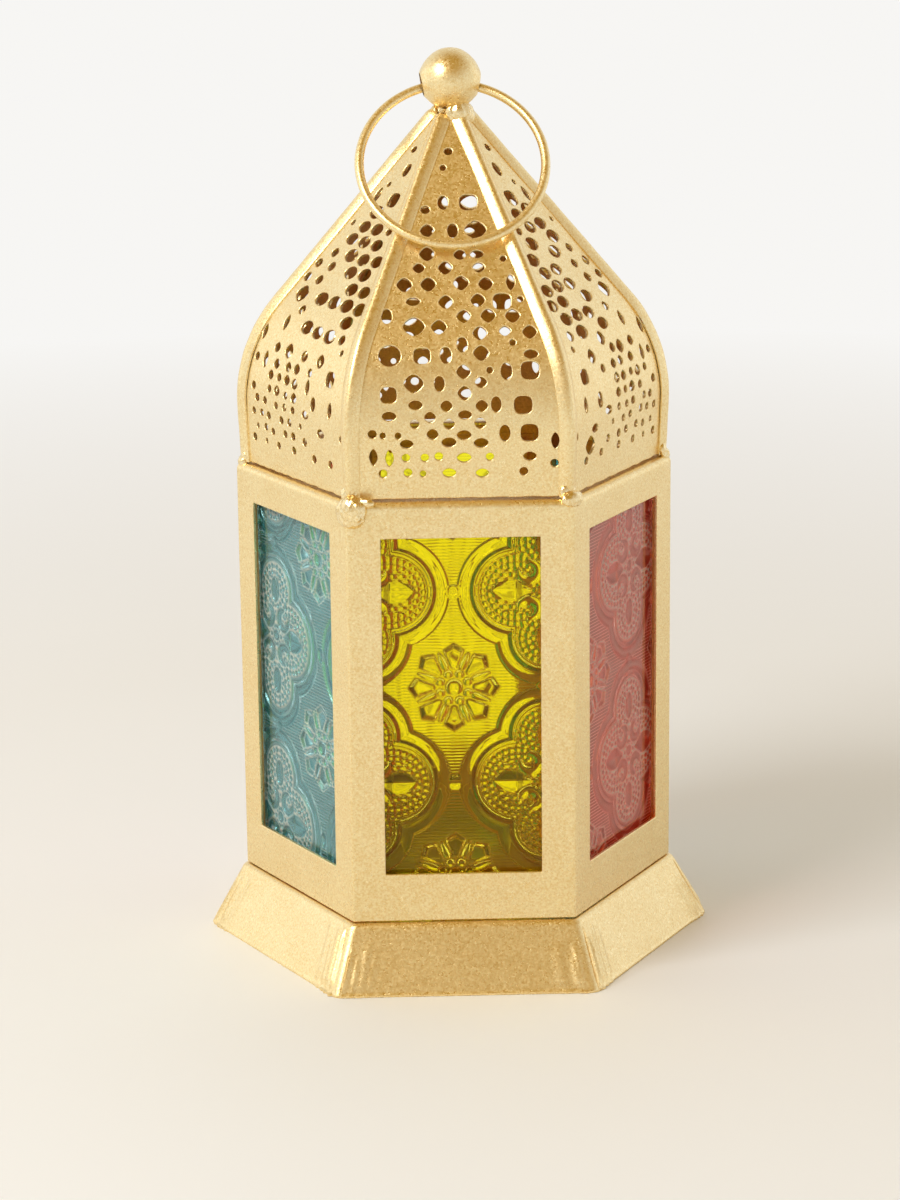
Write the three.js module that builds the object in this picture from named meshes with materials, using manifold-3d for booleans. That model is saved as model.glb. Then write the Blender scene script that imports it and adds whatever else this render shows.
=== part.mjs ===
// Six-sided iron lantern with patterned glass, a perforated dome and a hanging ring.
// Millimetres, +Z up. The origin is on the lantern's axis, on the surface it stands on.
// The front face looks along -Y, and the door is in the back face, which looks along +Y.
import * as THREE from "three";
import { mergeGeometries, mergeVertices } from "three/addons/utils/BufferGeometryUtils.js";
import Module from "manifold-3d";

const wasm = await Module();
wasm.setup();

// Clearances
const SEAT = 0.3; // between a piece and what it is soldered to or rests on
const RUNNING = 0.08; // round a pin that something turns on
const OVERRUN = 1; // how far a cutter runs past what it cuts
const CUT_REACH = 8; // how far a cutter runs to each side of the sheet that it cuts through

// Sheet metal
const SHEET = 0.8;
const THIN_SHEET = 0.6;

// The six-sided plan: sizes are given at the corners, and a face lies at COS30 times that
const COS30 = Math.cos(Math.PI / 6);
const TAN30 = Math.tan(Math.PI / 6);
const SIDES = 6;

// Pressed base
const BASE_HEIGHT = 15;
const BASE_FLARE = 9.2; // from the body's corner out to the corner of the lip
const BASE_LIP = 1.3;
const BASE_SHOULDER = 1.8;
const BASE_TOP_OVERHANG = 0.6;

// Body, and the sheet that is left below, above and beside each window
const BODY_CORNER = 50;
const BODY_HEIGHT = 96.8;
const FLANGE_WIDTH = 5;
const WINDOW_SILL = 11.3;
const WINDOW_HEAD = 8.1;
const WINDOW_SIDE = 7.5;
const WINDOW_CORNER = 1.2;

// Glass and the channels that hold it
const GLASS_THICK = 3;
const GLASS_COVER = 1.3; // how far a pane reaches behind the edge of its window
const CHANNEL_LIP = 1.5;
const CHANNEL_FOOT = 1.8;
const CHANNEL_END = 1; // how far a channel runs past the ends of its pane

// Door
const DOORWAY_SIDE = 4.5; // sheet left beside the doorway
const DOORWAY_EDGE = 4; // sheet left above and below the doorway
const DOOR_COVER = 1.7; // how far the door laps over the doorway's edge
const DOOR_WINDOW_SIDE = 8.5; // from the body's corner to the window in the door
const DOOR_CHANNEL_FOOT = 1.1;

// Hinges
const HINGE_PIN_R = 0.65;
const HINGE_WALL = 0.6;
const HINGE_GAP = 0.4; // between the two knuckles
const HINGE_STAND = 1.8; // from the body's face out to the hinge's axis
const HINGE_SIDE = 0.8; // from the doorway's edge to a hinge's barrel
const HINGE_LEAF_HEIGHT = 6;
const BODY_LEAF_REACH = 5;
const DOOR_LEAF_REACH = 3.5;
const HINGE_END = 18; // from either end of the door to the hinge near it
const PIN_HEAD_R = 1.15;
const PIN_HEAD_THICK = 0.6;

// Turn button that keeps the door shut
const BUTTON_WIDTH = 2.2;
const BUTTON_LENGTH = 10;
const BUTTON_THICK = 0.8;
const BUTTON_FLAT = 0.2; // straight edge left between the rounded corners of an end
const RIVET_R = 0.7;
const RIVET_HEAD_R = 1.1;
const RIVET_HEAD_THICK = 0.7;

// Dome: its corner line stands up, turns in round the shoulder and runs straight to the tip
const DOME_SETBACK = 2.2; // from the body's corner in to the corner of the dome's foot
const DOME_BULGE = 0.6;
const DOME_STRAIGHT = 14;
const DOME_SHOULDER_R = 35.8;
const DOME_SLOPE = THREE.MathUtils.degToRad(40.4);
const DOME_TIP_CORNER = 4.3;
const DOME_SHOULDER_STEPS = 6;
const PANEL_EDGE_GAP = 0.8;

// Perforation
const HOLE_ROW_STEP = 4.8;
const HOLE_COLUMN_STEP = 8.4;
const HOLE_HALF = 1.55;
const HOLE_MARGIN = 3.4; // from a hole's middle to the panel's edge
const HOLE_FOOT_MARGIN = 5;

// Ribs over the dome's six joints
const RIB_HALF_WIDTH = 1.6;
const RIB_THICK = 0.7;
const RIB_FLAT = 0.8;
const RIB_EDGE = 0.28; // height of a rib's side, before it rounds over

// Ball, neck and ring
const BALL_R = 6.75;
const BALL_RISE = 0.9; // from the dome's tip to the underside of the ball
const PIVOT_DROP = 1.4; // from the middle of the ball down to the ring's pivot
const NECK_R = 4.4;
const NECK_BULGE = 0.25;
const NECK_BULGE_RISE = 0.9;
const NECK_DRAW = 0.5; // how far the neck draws in under the ball
const NECK_CLEAR = 0.1;
const RING_WIRE_R = 1.05;
const RING_MEAN_R = 20.6;
const RING_PLAY = 0.2; // between the wire and the ball's hole where they come nearest
const HOLE_RISE = 0.6; // from the ring's pivot up to the middle of the ball's hole

// Candle cup
const CANDLE_CUP_BORE = 41;
const CANDLE_CUP_DEPTH = 7.4;

// Solder at the body's top corners
const DAB_RADIAL = 2.1;
const DAB_ACROSS = 3.6;
const DAB_UPRIGHT = 3.4;
const DAB_INSET = 0.4; // from the body's corner in to the middle of a lump

// How many sides or segments a round shape has
const CUP_SEGMENTS = 24;
const NECK_SEGMENTS = 16;
const BARREL_SEGMENTS = 16;
const PIN_SEGMENTS = 12;
const BALL_SEGMENTS = 20;
const BALL_BANDS = 12;
const BALL_HOLE_SEGMENTS = 16;
const DAB_SEGMENTS = 12;
const DAB_BANDS = 8;
const WIRE_SEGMENTS = 8;
const RING_SEGMENTS = 40;
const WINDOW_CORNER_SEGMENTS = 2;
const HOLE_CORNERS = 4;

// Places and sizes that follow. A six-sided body's face is as wide as its corner size.
const BODY_TOP = BASE_HEIGHT + BODY_HEIGHT;
const BODY_FACE = BODY_CORNER * COS30;
const BASE_FOOT_CORNER = BODY_CORNER + BASE_FLARE;
const DOME_FOOT_CORNER = BODY_CORNER - DOME_SETBACK;
const WINDOW_WIDTH = BODY_CORNER - 2 * WINDOW_SIDE;
const DOORWAY_WIDTH = BODY_CORNER - 2 * DOORWAY_SIDE;
const DOOR_WINDOW_WIDTH = BODY_CORNER - 2 * DOOR_WINDOW_SIDE;
const SILL_Z = BASE_HEIGHT + WINDOW_SILL;
const LINTEL_Z = BODY_TOP - WINDOW_HEAD;
const DOORWAY_LOW = BASE_HEIGHT + DOORWAY_EDGE;
const DOORWAY_HIGH = BODY_TOP - DOORWAY_EDGE;
const DOOR_LOW = DOORWAY_LOW - DOOR_COVER;
const DOOR_HIGH = DOORWAY_HIGH + DOOR_COVER;
const DOOR_BACK = BODY_FACE + SEAT;
const DOOR_FRONT = DOOR_BACK + SHEET;
const HINGE_BARREL_R = HINGE_PIN_R + RUNNING + HINGE_WALL;
const HINGE_X = BODY_FACE + HINGE_STAND;
const HINGE_U = -(DOORWAY_WIDTH / 2 + HINGE_SIDE + HINGE_BARREL_R);
const DOOR_HINGE_EDGE = HINGE_U + HINGE_BARREL_R + SEAT;
const DOOR_LATCH_EDGE = DOORWAY_WIDTH / 2 + DOOR_COVER;
const HINGE_HEIGHT = 2 * HINGE_LEAF_HEIGHT + HINGE_GAP;
const BUTTON_U = DOOR_LATCH_EDGE + SEAT + BUTTON_WIDTH / 2;
const BUTTON_Z = (DOOR_LOW + DOOR_HIGH) / 2;
const BUTTON_BACK = DOOR_FRONT + SEAT;
const DOME_FOOT_Z = BODY_TOP + SEAT;

const FACES = ["right_back", "back", "left_back", "left_front", "front", "right_front"];
const CORNERS = ["right", "back_right", "back_left", "left", "front_left", "front_right"];
const DOOR_FACE = FACES.indexOf("back");
const faceAngle = (index) => (index + 0.5) * (Math.PI / 3);
const cornerAngle = (index) => index * (Math.PI / 3);

// Finishes
const GOLD = { color: 0xa9926a, roughness: 0.42, metalness: 0.55 };
const GOLD_INNER = { color: 0x93805e, roughness: 0.5, metalness: 0.55 };
const SOLDER = { color: 0xb09b74, roughness: 0.36, metalness: 0.6 };
const TIN = { color: 0xb4b2ac, roughness: 0.35, metalness: 0.8 };
const YELLOW = { color: 0xd9c11a, roughness: 0.18, metalness: 0, transparent: true, opacity: 0.8 };
const RED = { color: 0x9b2f35, roughness: 0.18, metalness: 0, transparent: true, opacity: 0.8 };
const TEAL = { color: 0x2f7f91, roughness: 0.18, metalness: 0, transparent: true, opacity: 0.8 };
const GLASS_COLOURS = [TEAL, YELLOW, RED];

// Helpers: a closed geometry as a solid with its faces out, and a solid as a geometry
function solidOf(geometry) {
  const bare = geometry.clone();
  bare.deleteAttribute("normal");
  bare.deleteAttribute("uv");
  const merged = mergeVertices(bare, 1e-4);
  const mesh = { numProp: 3, vertProperties: merged.attributes.position.array };
  const triVerts = new Uint32Array(merged.index.array);
  const made = new wasm.Manifold(new wasm.Mesh({ ...mesh, triVerts }));
  if (made.volume() > 0) return made;
  return new wasm.Manifold(new wasm.Mesh({ ...mesh, triVerts: triVerts.reverse() }));
}

function geometryOf(solid) {
  const mesh = solid.getMesh();
  const geometry = new THREE.BufferGeometry();
  geometry.setAttribute("position", new THREE.BufferAttribute(mesh.vertProperties, 3));
  geometry.setIndex(new THREE.BufferAttribute(mesh.triVerts, 1));
  const flat = geometry.toNonIndexed();
  flat.computeVertexNormals();
  return flat;
}

function addPart(parent, name, shape, finish) {
  const geometry = shape.isBufferGeometry ? geometryOf(solidOf(shape)) : geometryOf(shape);
  const mesh = new THREE.Mesh(geometry, new THREE.MeshStandardMaterial(finish));
  mesh.name = name;
  parent.add(mesh);
  return mesh;
}

// A group turned so that its +X points out of one face of the lantern
function faceGroup(parent, index) {
  const group = new THREE.Group();
  group.rotation.z = faceAngle(index);
  parent.add(group);
  return group;
}

// An upright prism over a plan outline of [x, y] points
function prism(points, low, high) {
  const shape = new THREE.Shape(points.map(([x, y]) => new THREE.Vector2(x, y)));
  const geometry = new THREE.ExtrudeGeometry(shape, { depth: high - low, bevelEnabled: false });
  return geometry.translate(0, 0, low);
}

function hexagonPrism(corner, low, high) {
  const points = CORNERS.map((name, index) => [
    corner * Math.cos(cornerAngle(index)),
    corner * Math.sin(cornerAngle(index)),
  ]);
  return prism(points, low, high);
}

// A profile of [corner size, height] points carried round the six sides
function sixSided(profile) {
  const points = profile.map(([corner, z]) => new THREE.Vector2(corner, z));
  return new THREE.LatheGeometry(points, SIDES, Math.PI / 6).rotateX(Math.PI / 2);
}

function turned(profile, segments) {
  const points = profile.map(([radius, z]) => new THREE.Vector2(radius, z));
  return new THREE.LatheGeometry(points, segments).rotateX(Math.PI / 2);
}

// A rectangle with rounded corners, in a face's plane: x across the face and y up
function roundedRectangle(left, right, low, high, radius) {
  const shape = new THREE.Shape();
  shape.moveTo(left + radius, low);
  shape.lineTo(right - radius, low);
  shape.absarc(right - radius, low + radius, radius, -Math.PI / 2, 0);
  shape.lineTo(right, high - radius);
  shape.absarc(right - radius, high - radius, radius, 0, Math.PI / 2);
  shape.lineTo(left + radius, high);
  shape.absarc(left + radius, high - radius, radius, Math.PI / 2, Math.PI);
  shape.lineTo(left, low + radius);
  shape.absarc(left + radius, low + radius, radius, Math.PI, Math.PI * 1.5);
  return shape;
}

// A flat shape stood in a face: its x runs across, its y runs up and it is thick outwards
function standing(shape, from, thick) {
  const geometry = new THREE.ExtrudeGeometry(shape, {
    depth: thick,
    bevelEnabled: false,
    curveSegments: WINDOW_CORNER_SEGMENTS,
  });
  const across = new THREE.Vector3(0, 1, 0);
  const up = new THREE.Vector3(0, 0, 1);
  const out = new THREE.Vector3(1, 0, 0);
  return geometry.applyMatrix4(new THREE.Matrix4().makeBasis(across, up, out)).translate(from, 0, 0);
}

function windowCutter(width) {
  const half = width / 2;
  const shape = roundedRectangle(-half, half, SILL_Z, LINTEL_Z, WINDOW_CORNER);
  return standing(shape, BODY_FACE - CUT_REACH, 2 * CUT_REACH);
}

// Pressed base: floor, rounded shoulder, flared skirt and out-turned lip in one sheet
function pressedBase() {
  const shoulder = BODY_CORNER + BASE_TOP_OVERHANG;
  const lipStart = BASE_FOOT_CORNER - BASE_LIP;
  const wall = SHEET / COS30;
  const bend = BASE_SHOULDER * (1 - Math.SQRT1_2);
  return sixSided([
    [0, BASE_HEIGHT - SHEET],
    [shoulder - BASE_SHOULDER, BASE_HEIGHT - SHEET],
    [shoulder - wall, BASE_HEIGHT - BASE_SHOULDER],
    [lipStart - wall, 0],
    [BASE_FOOT_CORNER, 0],
    [BASE_FOOT_CORNER, SHEET],
    [lipStart, SHEET],
    [shoulder, BASE_HEIGHT - BASE_SHOULDER],
    [shoulder - bend, BASE_HEIGHT - bend],
    [shoulder - BASE_SHOULDER, BASE_HEIGHT],
    [0, BASE_HEIGHT],
  ]);
}

function candleCup() {
  const inner = CANDLE_CUP_BORE / 2;
  const foot = BASE_HEIGHT + SEAT;
  const floor = foot + THIN_SHEET;
  const rim = floor + CANDLE_CUP_DEPTH;
  return turned(
    [
      [0, foot],
      [inner + THIN_SHEET, foot],
      [inner + THIN_SHEET, rim],
      [inner, rim],
      [inner, floor],
      [0, floor],
    ],
    CUP_SEGMENTS,
  );
}

// Body: two sheets, each folded over three faces, with a window or doorway in each face and an
// inward flange for the dome. They meet in a soldered seam at the left and right corners.
function bodyShell(side) {
  const foot = BASE_HEIGHT + SEAT;
  const inside = BODY_CORNER - SHEET / COS30;
  const hollow = solidOf(hexagonPrism(inside, foot - OVERRUN, BODY_TOP - SHEET));
  const throat = solidOf(
    hexagonPrism(inside - FLANGE_WIDTH, BODY_TOP - SHEET - OVERRUN, BODY_TOP + OVERRUN),
  );
  let shell = solidOf(hexagonPrism(BODY_CORNER, foot, BODY_TOP)).subtract(hollow).subtract(throat);
  FACES.forEach((name, index) => {
    const cutter = index === DOOR_FACE ? doorwayCutter() : windowCutter(WINDOW_WIDTH);
    shell = shell.subtract(solidOf(cutter.rotateZ(faceAngle(index))));
  });
  const reach = BODY_CORNER + OVERRUN;
  const outline = [
    [-reach, (side * SEAT) / 2],
    [reach, (side * SEAT) / 2],
    [reach, side * reach],
    [-reach, side * reach],
  ];
  return shell.intersect(solidOf(prism(outline, BASE_HEIGHT, BODY_TOP + OVERRUN)));
}

function doorwayCutter() {
  const half = DOORWAY_WIDTH / 2;
  const shape = roundedRectangle(-half, half, DOORWAY_LOW, DOORWAY_HIGH, WINDOW_CORNER);
  return standing(shape, BODY_FACE - CUT_REACH, 2 * CUT_REACH);
}

// A pane lies behind its window, against the sheet whose inner side is at sheetInside
function glassPane(windowWidth, sheetInside) {
  const half = windowWidth / 2 + GLASS_COVER;
  const low = SILL_Z - GLASS_COVER;
  const high = LINTEL_Z + GLASS_COVER;
  const outline = [
    [sheetInside - SEAT - GLASS_THICK, -half],
    [sheetInside - SEAT, -half],
    [sheetInside - SEAT, half],
    [sheetInside - SEAT - GLASS_THICK, half],
  ];
  return prism(outline, low, high);
}

// A folded channel strip: a foot on the sheet, a web beside the glass and a lip behind it
function glassChannel(windowWidth, sheetInside, foot, side) {
  const web = windowWidth / 2 + GLASS_COVER + SEAT;
  const top = sheetInside - SEAT;
  const back = top - GLASS_THICK - SEAT;
  const outline = [
    [top, web],
    [top, web + foot],
    [top - THIN_SHEET, web + foot],
    [top - THIN_SHEET, web + THIN_SHEET],
    [back - THIN_SHEET, web + THIN_SHEET],
    [back - THIN_SHEET, web - CHANNEL_LIP],
    [back, web - CHANNEL_LIP],
    [back, web],
  ];
  const placed = outline.map(([x, u]) => [x, side * u]);
  const past = GLASS_COVER + CHANNEL_END;
  return prism(placed, SILL_Z - past, LINTEL_Z + past);
}

function doorFrame() {
  const shape = roundedRectangle(DOOR_HINGE_EDGE, DOOR_LATCH_EDGE, DOOR_LOW, DOOR_HIGH, WINDOW_CORNER);
  return solidOf(standing(shape, DOOR_BACK, SHEET)).subtract(solidOf(windowCutter(DOOR_WINDOW_WIDTH)));
}

// Hinges: a body knuckle below, a door knuckle above and a headed pin through both
function barrel(low, high) {
  const made = new THREE.CylinderGeometry(HINGE_BARREL_R, HINGE_BARREL_R, high - low, BARREL_SEGMENTS);
  return solidOf(made.rotateX(Math.PI / 2).translate(HINGE_X, HINGE_U, (low + high) / 2));
}

// A many-sided hole is widened so that its flats clear the pin in it
function boreRadius(pinRadius) {
  return (pinRadius + RUNNING) / Math.cos(Math.PI / PIN_SEGMENTS);
}

function pinHole(low, high) {
  const radius = boreRadius(HINGE_PIN_R);
  const made = new THREE.CylinderGeometry(radius, radius, high - low + 2 * OVERRUN, PIN_SEGMENTS);
  return solidOf(made.rotateX(Math.PI / 2).translate(HINGE_X, HINGE_U, (low + high) / 2));
}

// The body's leaf lies on the back face beside the doorway and folds round the corner
function bodyLeaf(low) {
  const high = low + HINGE_LEAF_HEIGHT;
  const near = BODY_FACE + SEAT;
  const far = near + THIN_SHEET;
  const reach = [-BODY_LEAF_REACH * COS30, -BODY_LEAF_REACH / 2];
  const outline = [
    [near, HINGE_U],
    [near, -near * TAN30],
    [near + reach[0], -near * TAN30 + reach[1]],
    [far + reach[0], -far * TAN30 + reach[1]],
    [far, -far * TAN30],
    [far, HINGE_U],
  ];
  return solidOf(prism(outline, low, high)).add(barrel(low, high)).subtract(pinHole(low, high));
}

function doorLeaf(low) {
  const high = low + HINGE_LEAF_HEIGHT;
  const near = DOOR_FRONT + SEAT;
  const outline = [
    [near, HINGE_U],
    [near + THIN_SHEET, HINGE_U],
    [near + THIN_SHEET, DOOR_HINGE_EDGE + DOOR_LEAF_REACH],
    [near, DOOR_HINGE_EDGE + DOOR_LEAF_REACH],
  ];
  return solidOf(prism(outline, low, high)).add(barrel(low, high)).subtract(pinHole(low, high));
}

function hingePin(low) {
  const foot = low - SEAT;
  const top = low + HINGE_HEIGHT + SEAT;
  const made = turned(
    [
      [0, foot - PIN_HEAD_THICK],
      [PIN_HEAD_R, foot - PIN_HEAD_THICK],
      [PIN_HEAD_R, foot],
      [HINGE_PIN_R, foot],
      [HINGE_PIN_R, top],
      [PIN_HEAD_R, top],
      [PIN_HEAD_R, top + PIN_HEAD_THICK],
      [0, top + PIN_HEAD_THICK],
    ],
    PIN_SEGMENTS,
  );
  return made.translate(HINGE_X, HINGE_U, 0);
}

// Turn button: a flat bar on a rivet beside the door, upright while the door is free
function turnButton() {
  const half = BUTTON_WIDTH / 2;
  const low = BUTTON_Z - BUTTON_LENGTH / 2;
  const corner = half - BUTTON_FLAT / 2;
  const shape = roundedRectangle(BUTTON_U - half, BUTTON_U + half, low, low + BUTTON_LENGTH, corner);
  const holeR = boreRadius(RIVET_R);
  const hole = new THREE.CylinderGeometry(holeR, holeR, CUT_REACH, PIN_SEGMENTS).rotateZ(Math.PI / 2);
  return solidOf(standing(shape, BUTTON_BACK, BUTTON_THICK)).subtract(
    solidOf(hole.translate(BUTTON_BACK, BUTTON_U, BUTTON_Z)),
  );
}

function buttonRivet() {
  const foot = BODY_FACE + SEAT;
  const head = BUTTON_BACK + BUTTON_THICK + SEAT;
  const made = turned(
    [
      [0, foot],
      [RIVET_HEAD_R, foot],
      [RIVET_HEAD_R, BUTTON_BACK - SEAT],
      [RIVET_R, BUTTON_BACK - SEAT],
      [RIVET_R, head],
      [RIVET_HEAD_R, head],
      [RIVET_HEAD_R, head + RIVET_HEAD_THICK],
      [0, head + RIVET_HEAD_THICK],
    ],
    PIN_SEGMENTS,
  );
  return made.rotateY(Math.PI / 2).translate(0, BUTTON_U, BUTTON_Z);
}

// Dome corner line as [corner size, height] points from the foot to the tip
function domeLine() {
  const widest = DOME_FOOT_CORNER + DOME_BULGE;
  const turnZ = DOME_FOOT_Z + DOME_STRAIGHT;
  const points = [[DOME_FOOT_CORNER, DOME_FOOT_Z]];
  for (let step = 0; step <= DOME_SHOULDER_STEPS; step += 1) {
    const angle = (DOME_SLOPE * step) / DOME_SHOULDER_STEPS;
    const inward = DOME_SHOULDER_R * (1 - Math.cos(angle));
    points.push([widest - inward, turnZ + DOME_SHOULDER_R * Math.sin(angle)]);
  }
  const [endCorner, endZ] = points[points.length - 1];
  points.push([DOME_TIP_CORNER, endZ + (endCorner - DOME_TIP_CORNER) / Math.tan(DOME_SLOPE)]);
  return points;
}

const DOME_LINE = domeLine();
const DOME_TIP_Z = DOME_LINE[DOME_LINE.length - 1][1];

// The unit normal of an open polyline at each of its points, as [out, up]
function lineNormals(points) {
  return points.map((point, index) => {
    const before = points[Math.max(index - 1, 0)];
    const after = points[Math.min(index + 1, points.length - 1)];
    const run = [after[0] - before[0], after[1] - before[1]];
    const length = Math.hypot(run[0], run[1]);
    return [run[1] / length, -run[0] / length];
  });
}

// The outside of a panel down its middle, as [distance from the axis, height] points
const PANEL_LINE = DOME_LINE.map(([corner, z]) => [corner * COS30, z]);

// The point of a panel's middle line that lies a given length up it, with its normal
function alongPanel(length) {
  let left = length;
  for (let index = 0; index + 1 < PANEL_LINE.length; index += 1) {
    const [from, to] = [PANEL_LINE[index], PANEL_LINE[index + 1]];
    const run = Math.hypot(to[0] - from[0], to[1] - from[1]);
    if (left <= run) {
      const share = left / run;
      return {
        out: from[0] + share * (to[0] - from[0]),
        z: from[1] + share * (to[1] - from[1]),
        tilt: Math.atan2(from[0] - to[0], to[1] - from[1]),
      };
    }
    left -= run;
  }
  return null;
}

// Diamond holes in staggered rows, as many in each row as the panel's width holds
function panelHoles() {
  const cutters = [];
  for (let row = 0; ; row += 1) {
    const place = alongPanel(HOLE_FOOT_MARGIN + row * HOLE_ROW_STEP);
    if (!place) break;
    const reach = place.out * TAN30 - PANEL_EDGE_GAP - HOLE_MARGIN;
    const shift = row % 2 ? HOLE_COLUMN_STEP / 2 : 0;
    const most = Math.floor((reach - shift) / HOLE_COLUMN_STEP);
    for (let column = -most - (row % 2); column <= most; column += 1) {
      const cutter = new THREE.CylinderGeometry(HOLE_HALF, HOLE_HALF, CUT_REACH, HOLE_CORNERS);
      cutter.rotateZ(-Math.PI / 2).rotateY(-place.tilt);
      cutters.push(cutter.translate(place.out, shift + column * HOLE_COLUMN_STEP, place.z));
    }
  }
  return cutters;
}

// One gore of the dome: a curved sheet, narrower towards the tip, with its holes
function domePanel() {
  const normals = lineNormals(PANEL_LINE);
  const inner = PANEL_LINE.map(([out, z], index) => [
    out - SHEET * normals[index][0],
    z - SHEET * normals[index][1],
  ]);
  inner[0][1] = DOME_FOOT_Z;
  const outline = [...PANEL_LINE, ...inner.reverse()];
  const reach = BODY_CORNER;
  const sheet = prism(outline, -reach, reach).rotateX(Math.PI / 2);
  const apex = PANEL_EDGE_GAP / TAN30;
  const half = (reach - apex) * TAN30;
  const wedge = prism(
    [
      [apex, 0],
      [reach, -half],
      [reach, half],
    ],
    BODY_TOP,
    DOME_TIP_Z + OVERRUN,
  );
  return solidOf(sheet).intersect(solidOf(wedge)).subtract(solidOf(mergeGeometries(panelHoles())));
}

// A rib's section: a bent strip that sits over the joint. Points are [across, out].
function ribSection(clear) {
  const seat = SEAT - clear;
  const drop = TAN30 * RIB_HALF_WIDTH;
  return [
    [0, seat],
    [RIB_HALF_WIDTH + clear, seat - drop],
    [RIB_HALF_WIDTH + clear, seat - drop + RIB_EDGE + clear],
    [RIB_FLAT, seat + RIB_THICK + clear],
    [-RIB_FLAT, seat + RIB_THICK + clear],
    [-RIB_HALF_WIDTH - clear, seat - drop + RIB_EDGE + clear],
    [-RIB_HALF_WIDTH - clear, seat - drop],
  ];
}

// Where a rib's section points lie at each point of the dome's corner line, corner at +X
function ribRings(clear) {
  const normals = lineNormals(DOME_LINE);
  return DOME_LINE.map(([corner, z], index) =>
    ribSection(clear).map(([across, out]) => {
      const [outward, upward] = index ? normals[index] : [1, 0];
      return new THREE.Vector3(corner + out * outward, across, z + out * upward);
    }),
  );
}

// A closed skin over a row of rings that each hold the same number of points
function loft(rings, section) {
  const count = rings[0].length;
  const positions = rings.flat().flatMap((point) => point.toArray());
  const index = [];
  rings.slice(1).forEach((ring, step) => {
    for (let side = 0; side < count; side += 1) {
      const a = step * count + side;
      const b = step * count + ((side + 1) % count);
      index.push(a, b, b + count, a, b + count, a + count);
    }
  });
  const flat = section.map(([x, y]) => new THREE.Vector2(x, y));
  const last = (rings.length - 1) * count;
  THREE.ShapeUtils.triangulateShape(flat, []).forEach(([a, b, c]) => {
    index.push(a, c, b, last + a, last + b, last + c);
  });
  const geometry = new THREE.BufferGeometry();
  geometry.setAttribute("position", new THREE.Float32BufferAttribute(positions, 3));
  geometry.setIndex(index);
  return geometry;
}

function domeRib(clear = 0) {
  return loft(ribRings(clear), ribSection(clear));
}

// Ball with a hole across it for the ring
const BALL_Z = DOME_TIP_Z + BALL_RISE + BALL_R;
const PIVOT_Z = BALL_Z - PIVOT_DROP;

// The hole clears the wire's bend at the ball's surface however the ring is turned
function ball() {
  const bend = RING_MEAN_R - Math.sqrt(RING_MEAN_R ** 2 - BALL_R ** 2);
  const holeR = HOLE_RISE + bend + RING_WIRE_R + RING_PLAY;
  const sphere = new THREE.SphereGeometry(BALL_R, BALL_SEGMENTS, BALL_BANDS);
  sphere.rotateX(Math.PI / 2).translate(0, 0, BALL_Z);
  const hole = new THREE.CylinderGeometry(holeR, holeR, 3 * BALL_R, BALL_HOLE_SEGMENTS);
  hole.rotateZ(Math.PI / 2).translate(0, 0, PIVOT_Z + HOLE_RISE);
  return solidOf(sphere).subtract(solidOf(hole));
}

// Solder neck: a low collar on the dome's tip, hollowed to take the ball
function neckSolder() {
  const foot = DOME_TIP_Z + SEAT;
  const seatR = BALL_R + SEAT;
  const cupZ = (radius) => BALL_Z - Math.sqrt(seatR ** 2 - radius ** 2) - NECK_CLEAR;
  return turned(
    [
      [0, foot],
      [NECK_R, foot],
      [NECK_R + NECK_BULGE, foot + NECK_BULGE_RISE],
      [NECK_R - NECK_DRAW, cupZ(NECK_R - NECK_DRAW)],
      [NECK_R / 2, cupZ(NECK_R / 2)],
      [0, cupZ(0)],
    ],
    NECK_SEGMENTS,
  );
}

// The ring's centre and its points, for a ring that leans forward by a given angle
function ringPoint(lean, turn) {
  const hang = RING_MEAN_R * (1 - Math.cos(turn));
  const side = RING_MEAN_R * Math.sin(turn);
  return new THREE.Vector3(side, -hang * Math.sin(lean), PIVOT_Z - hang * Math.cos(lean));
}

// How near the ring's wire comes to the front rib on its right, along that rib's edges
function ringToRib(lean) {
  const turnRib = new THREE.Matrix4().makeRotationZ(cornerAngle(CORNERS.indexOf("front_right")));
  const rings = ribRings(0).map((ring) => ring.map((point) => point.applyMatrix4(turnRib)));
  const nearest = new THREE.Vector3();
  let least = Infinity;
  const [firstTurn, turnStep] = [0.5, 0.02];
  for (let turn = firstTurn; turn < Math.PI; turn += turnStep) {
    const onRing = ringPoint(lean, turn);
    rings.slice(1).forEach((ring, index) => {
      ring.forEach((point, side) => {
        new THREE.Line3(rings[index][side], point).closestPointToPoint(onRing, true, nearest);
        least = Math.min(least, nearest.distanceTo(onRing));
      });
    });
  }
  return least - RING_WIRE_R;
}

// The ring falls forward until it is SEAT away from the front ribs
function restingLean() {
  const halvings = 24;
  let [low, high] = [DOME_SLOPE / 2, Math.PI / 2];
  for (let step = 0; step < halvings; step += 1) {
    const middle = (low + high) / 2;
    if (ringToRib(middle) < SEAT) low = middle;
    else high = middle;
  }
  return high;
}

function hangingRing() {
  const torus = new THREE.TorusGeometry(RING_MEAN_R, RING_WIRE_R, WIRE_SEGMENTS, RING_SEGMENTS);
  return torus.rotateX(Math.PI / 2);
}

// Solder at a body corner: a rounded lump over the rib's foot and the corner below it
function cornerSolder() {
  const lump = new THREE.SphereGeometry(1, DAB_SEGMENTS, DAB_BANDS).rotateX(Math.PI / 2);
  lump.scale(DAB_RADIAL, DAB_ACROSS, DAB_UPRIGHT).translate(BODY_CORNER - DAB_INSET, 0, BODY_TOP);
  const keep = SEAT / COS30;
  const body = hexagonPrism(BODY_CORNER + keep, BASE_HEIGHT, BODY_TOP + SEAT);
  const domeSkin = DOME_LINE.map(([corner, z]) => [corner + keep, z]);
  const dome = sixSided([[0, BODY_TOP - OVERRUN], ...domeSkin, [0, DOME_TIP_Z]]);
  return solidOf(lump).subtract(solidOf(body)).subtract(solidOf(dome)).subtract(solidOf(domeRib(SEAT)));
}

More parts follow.
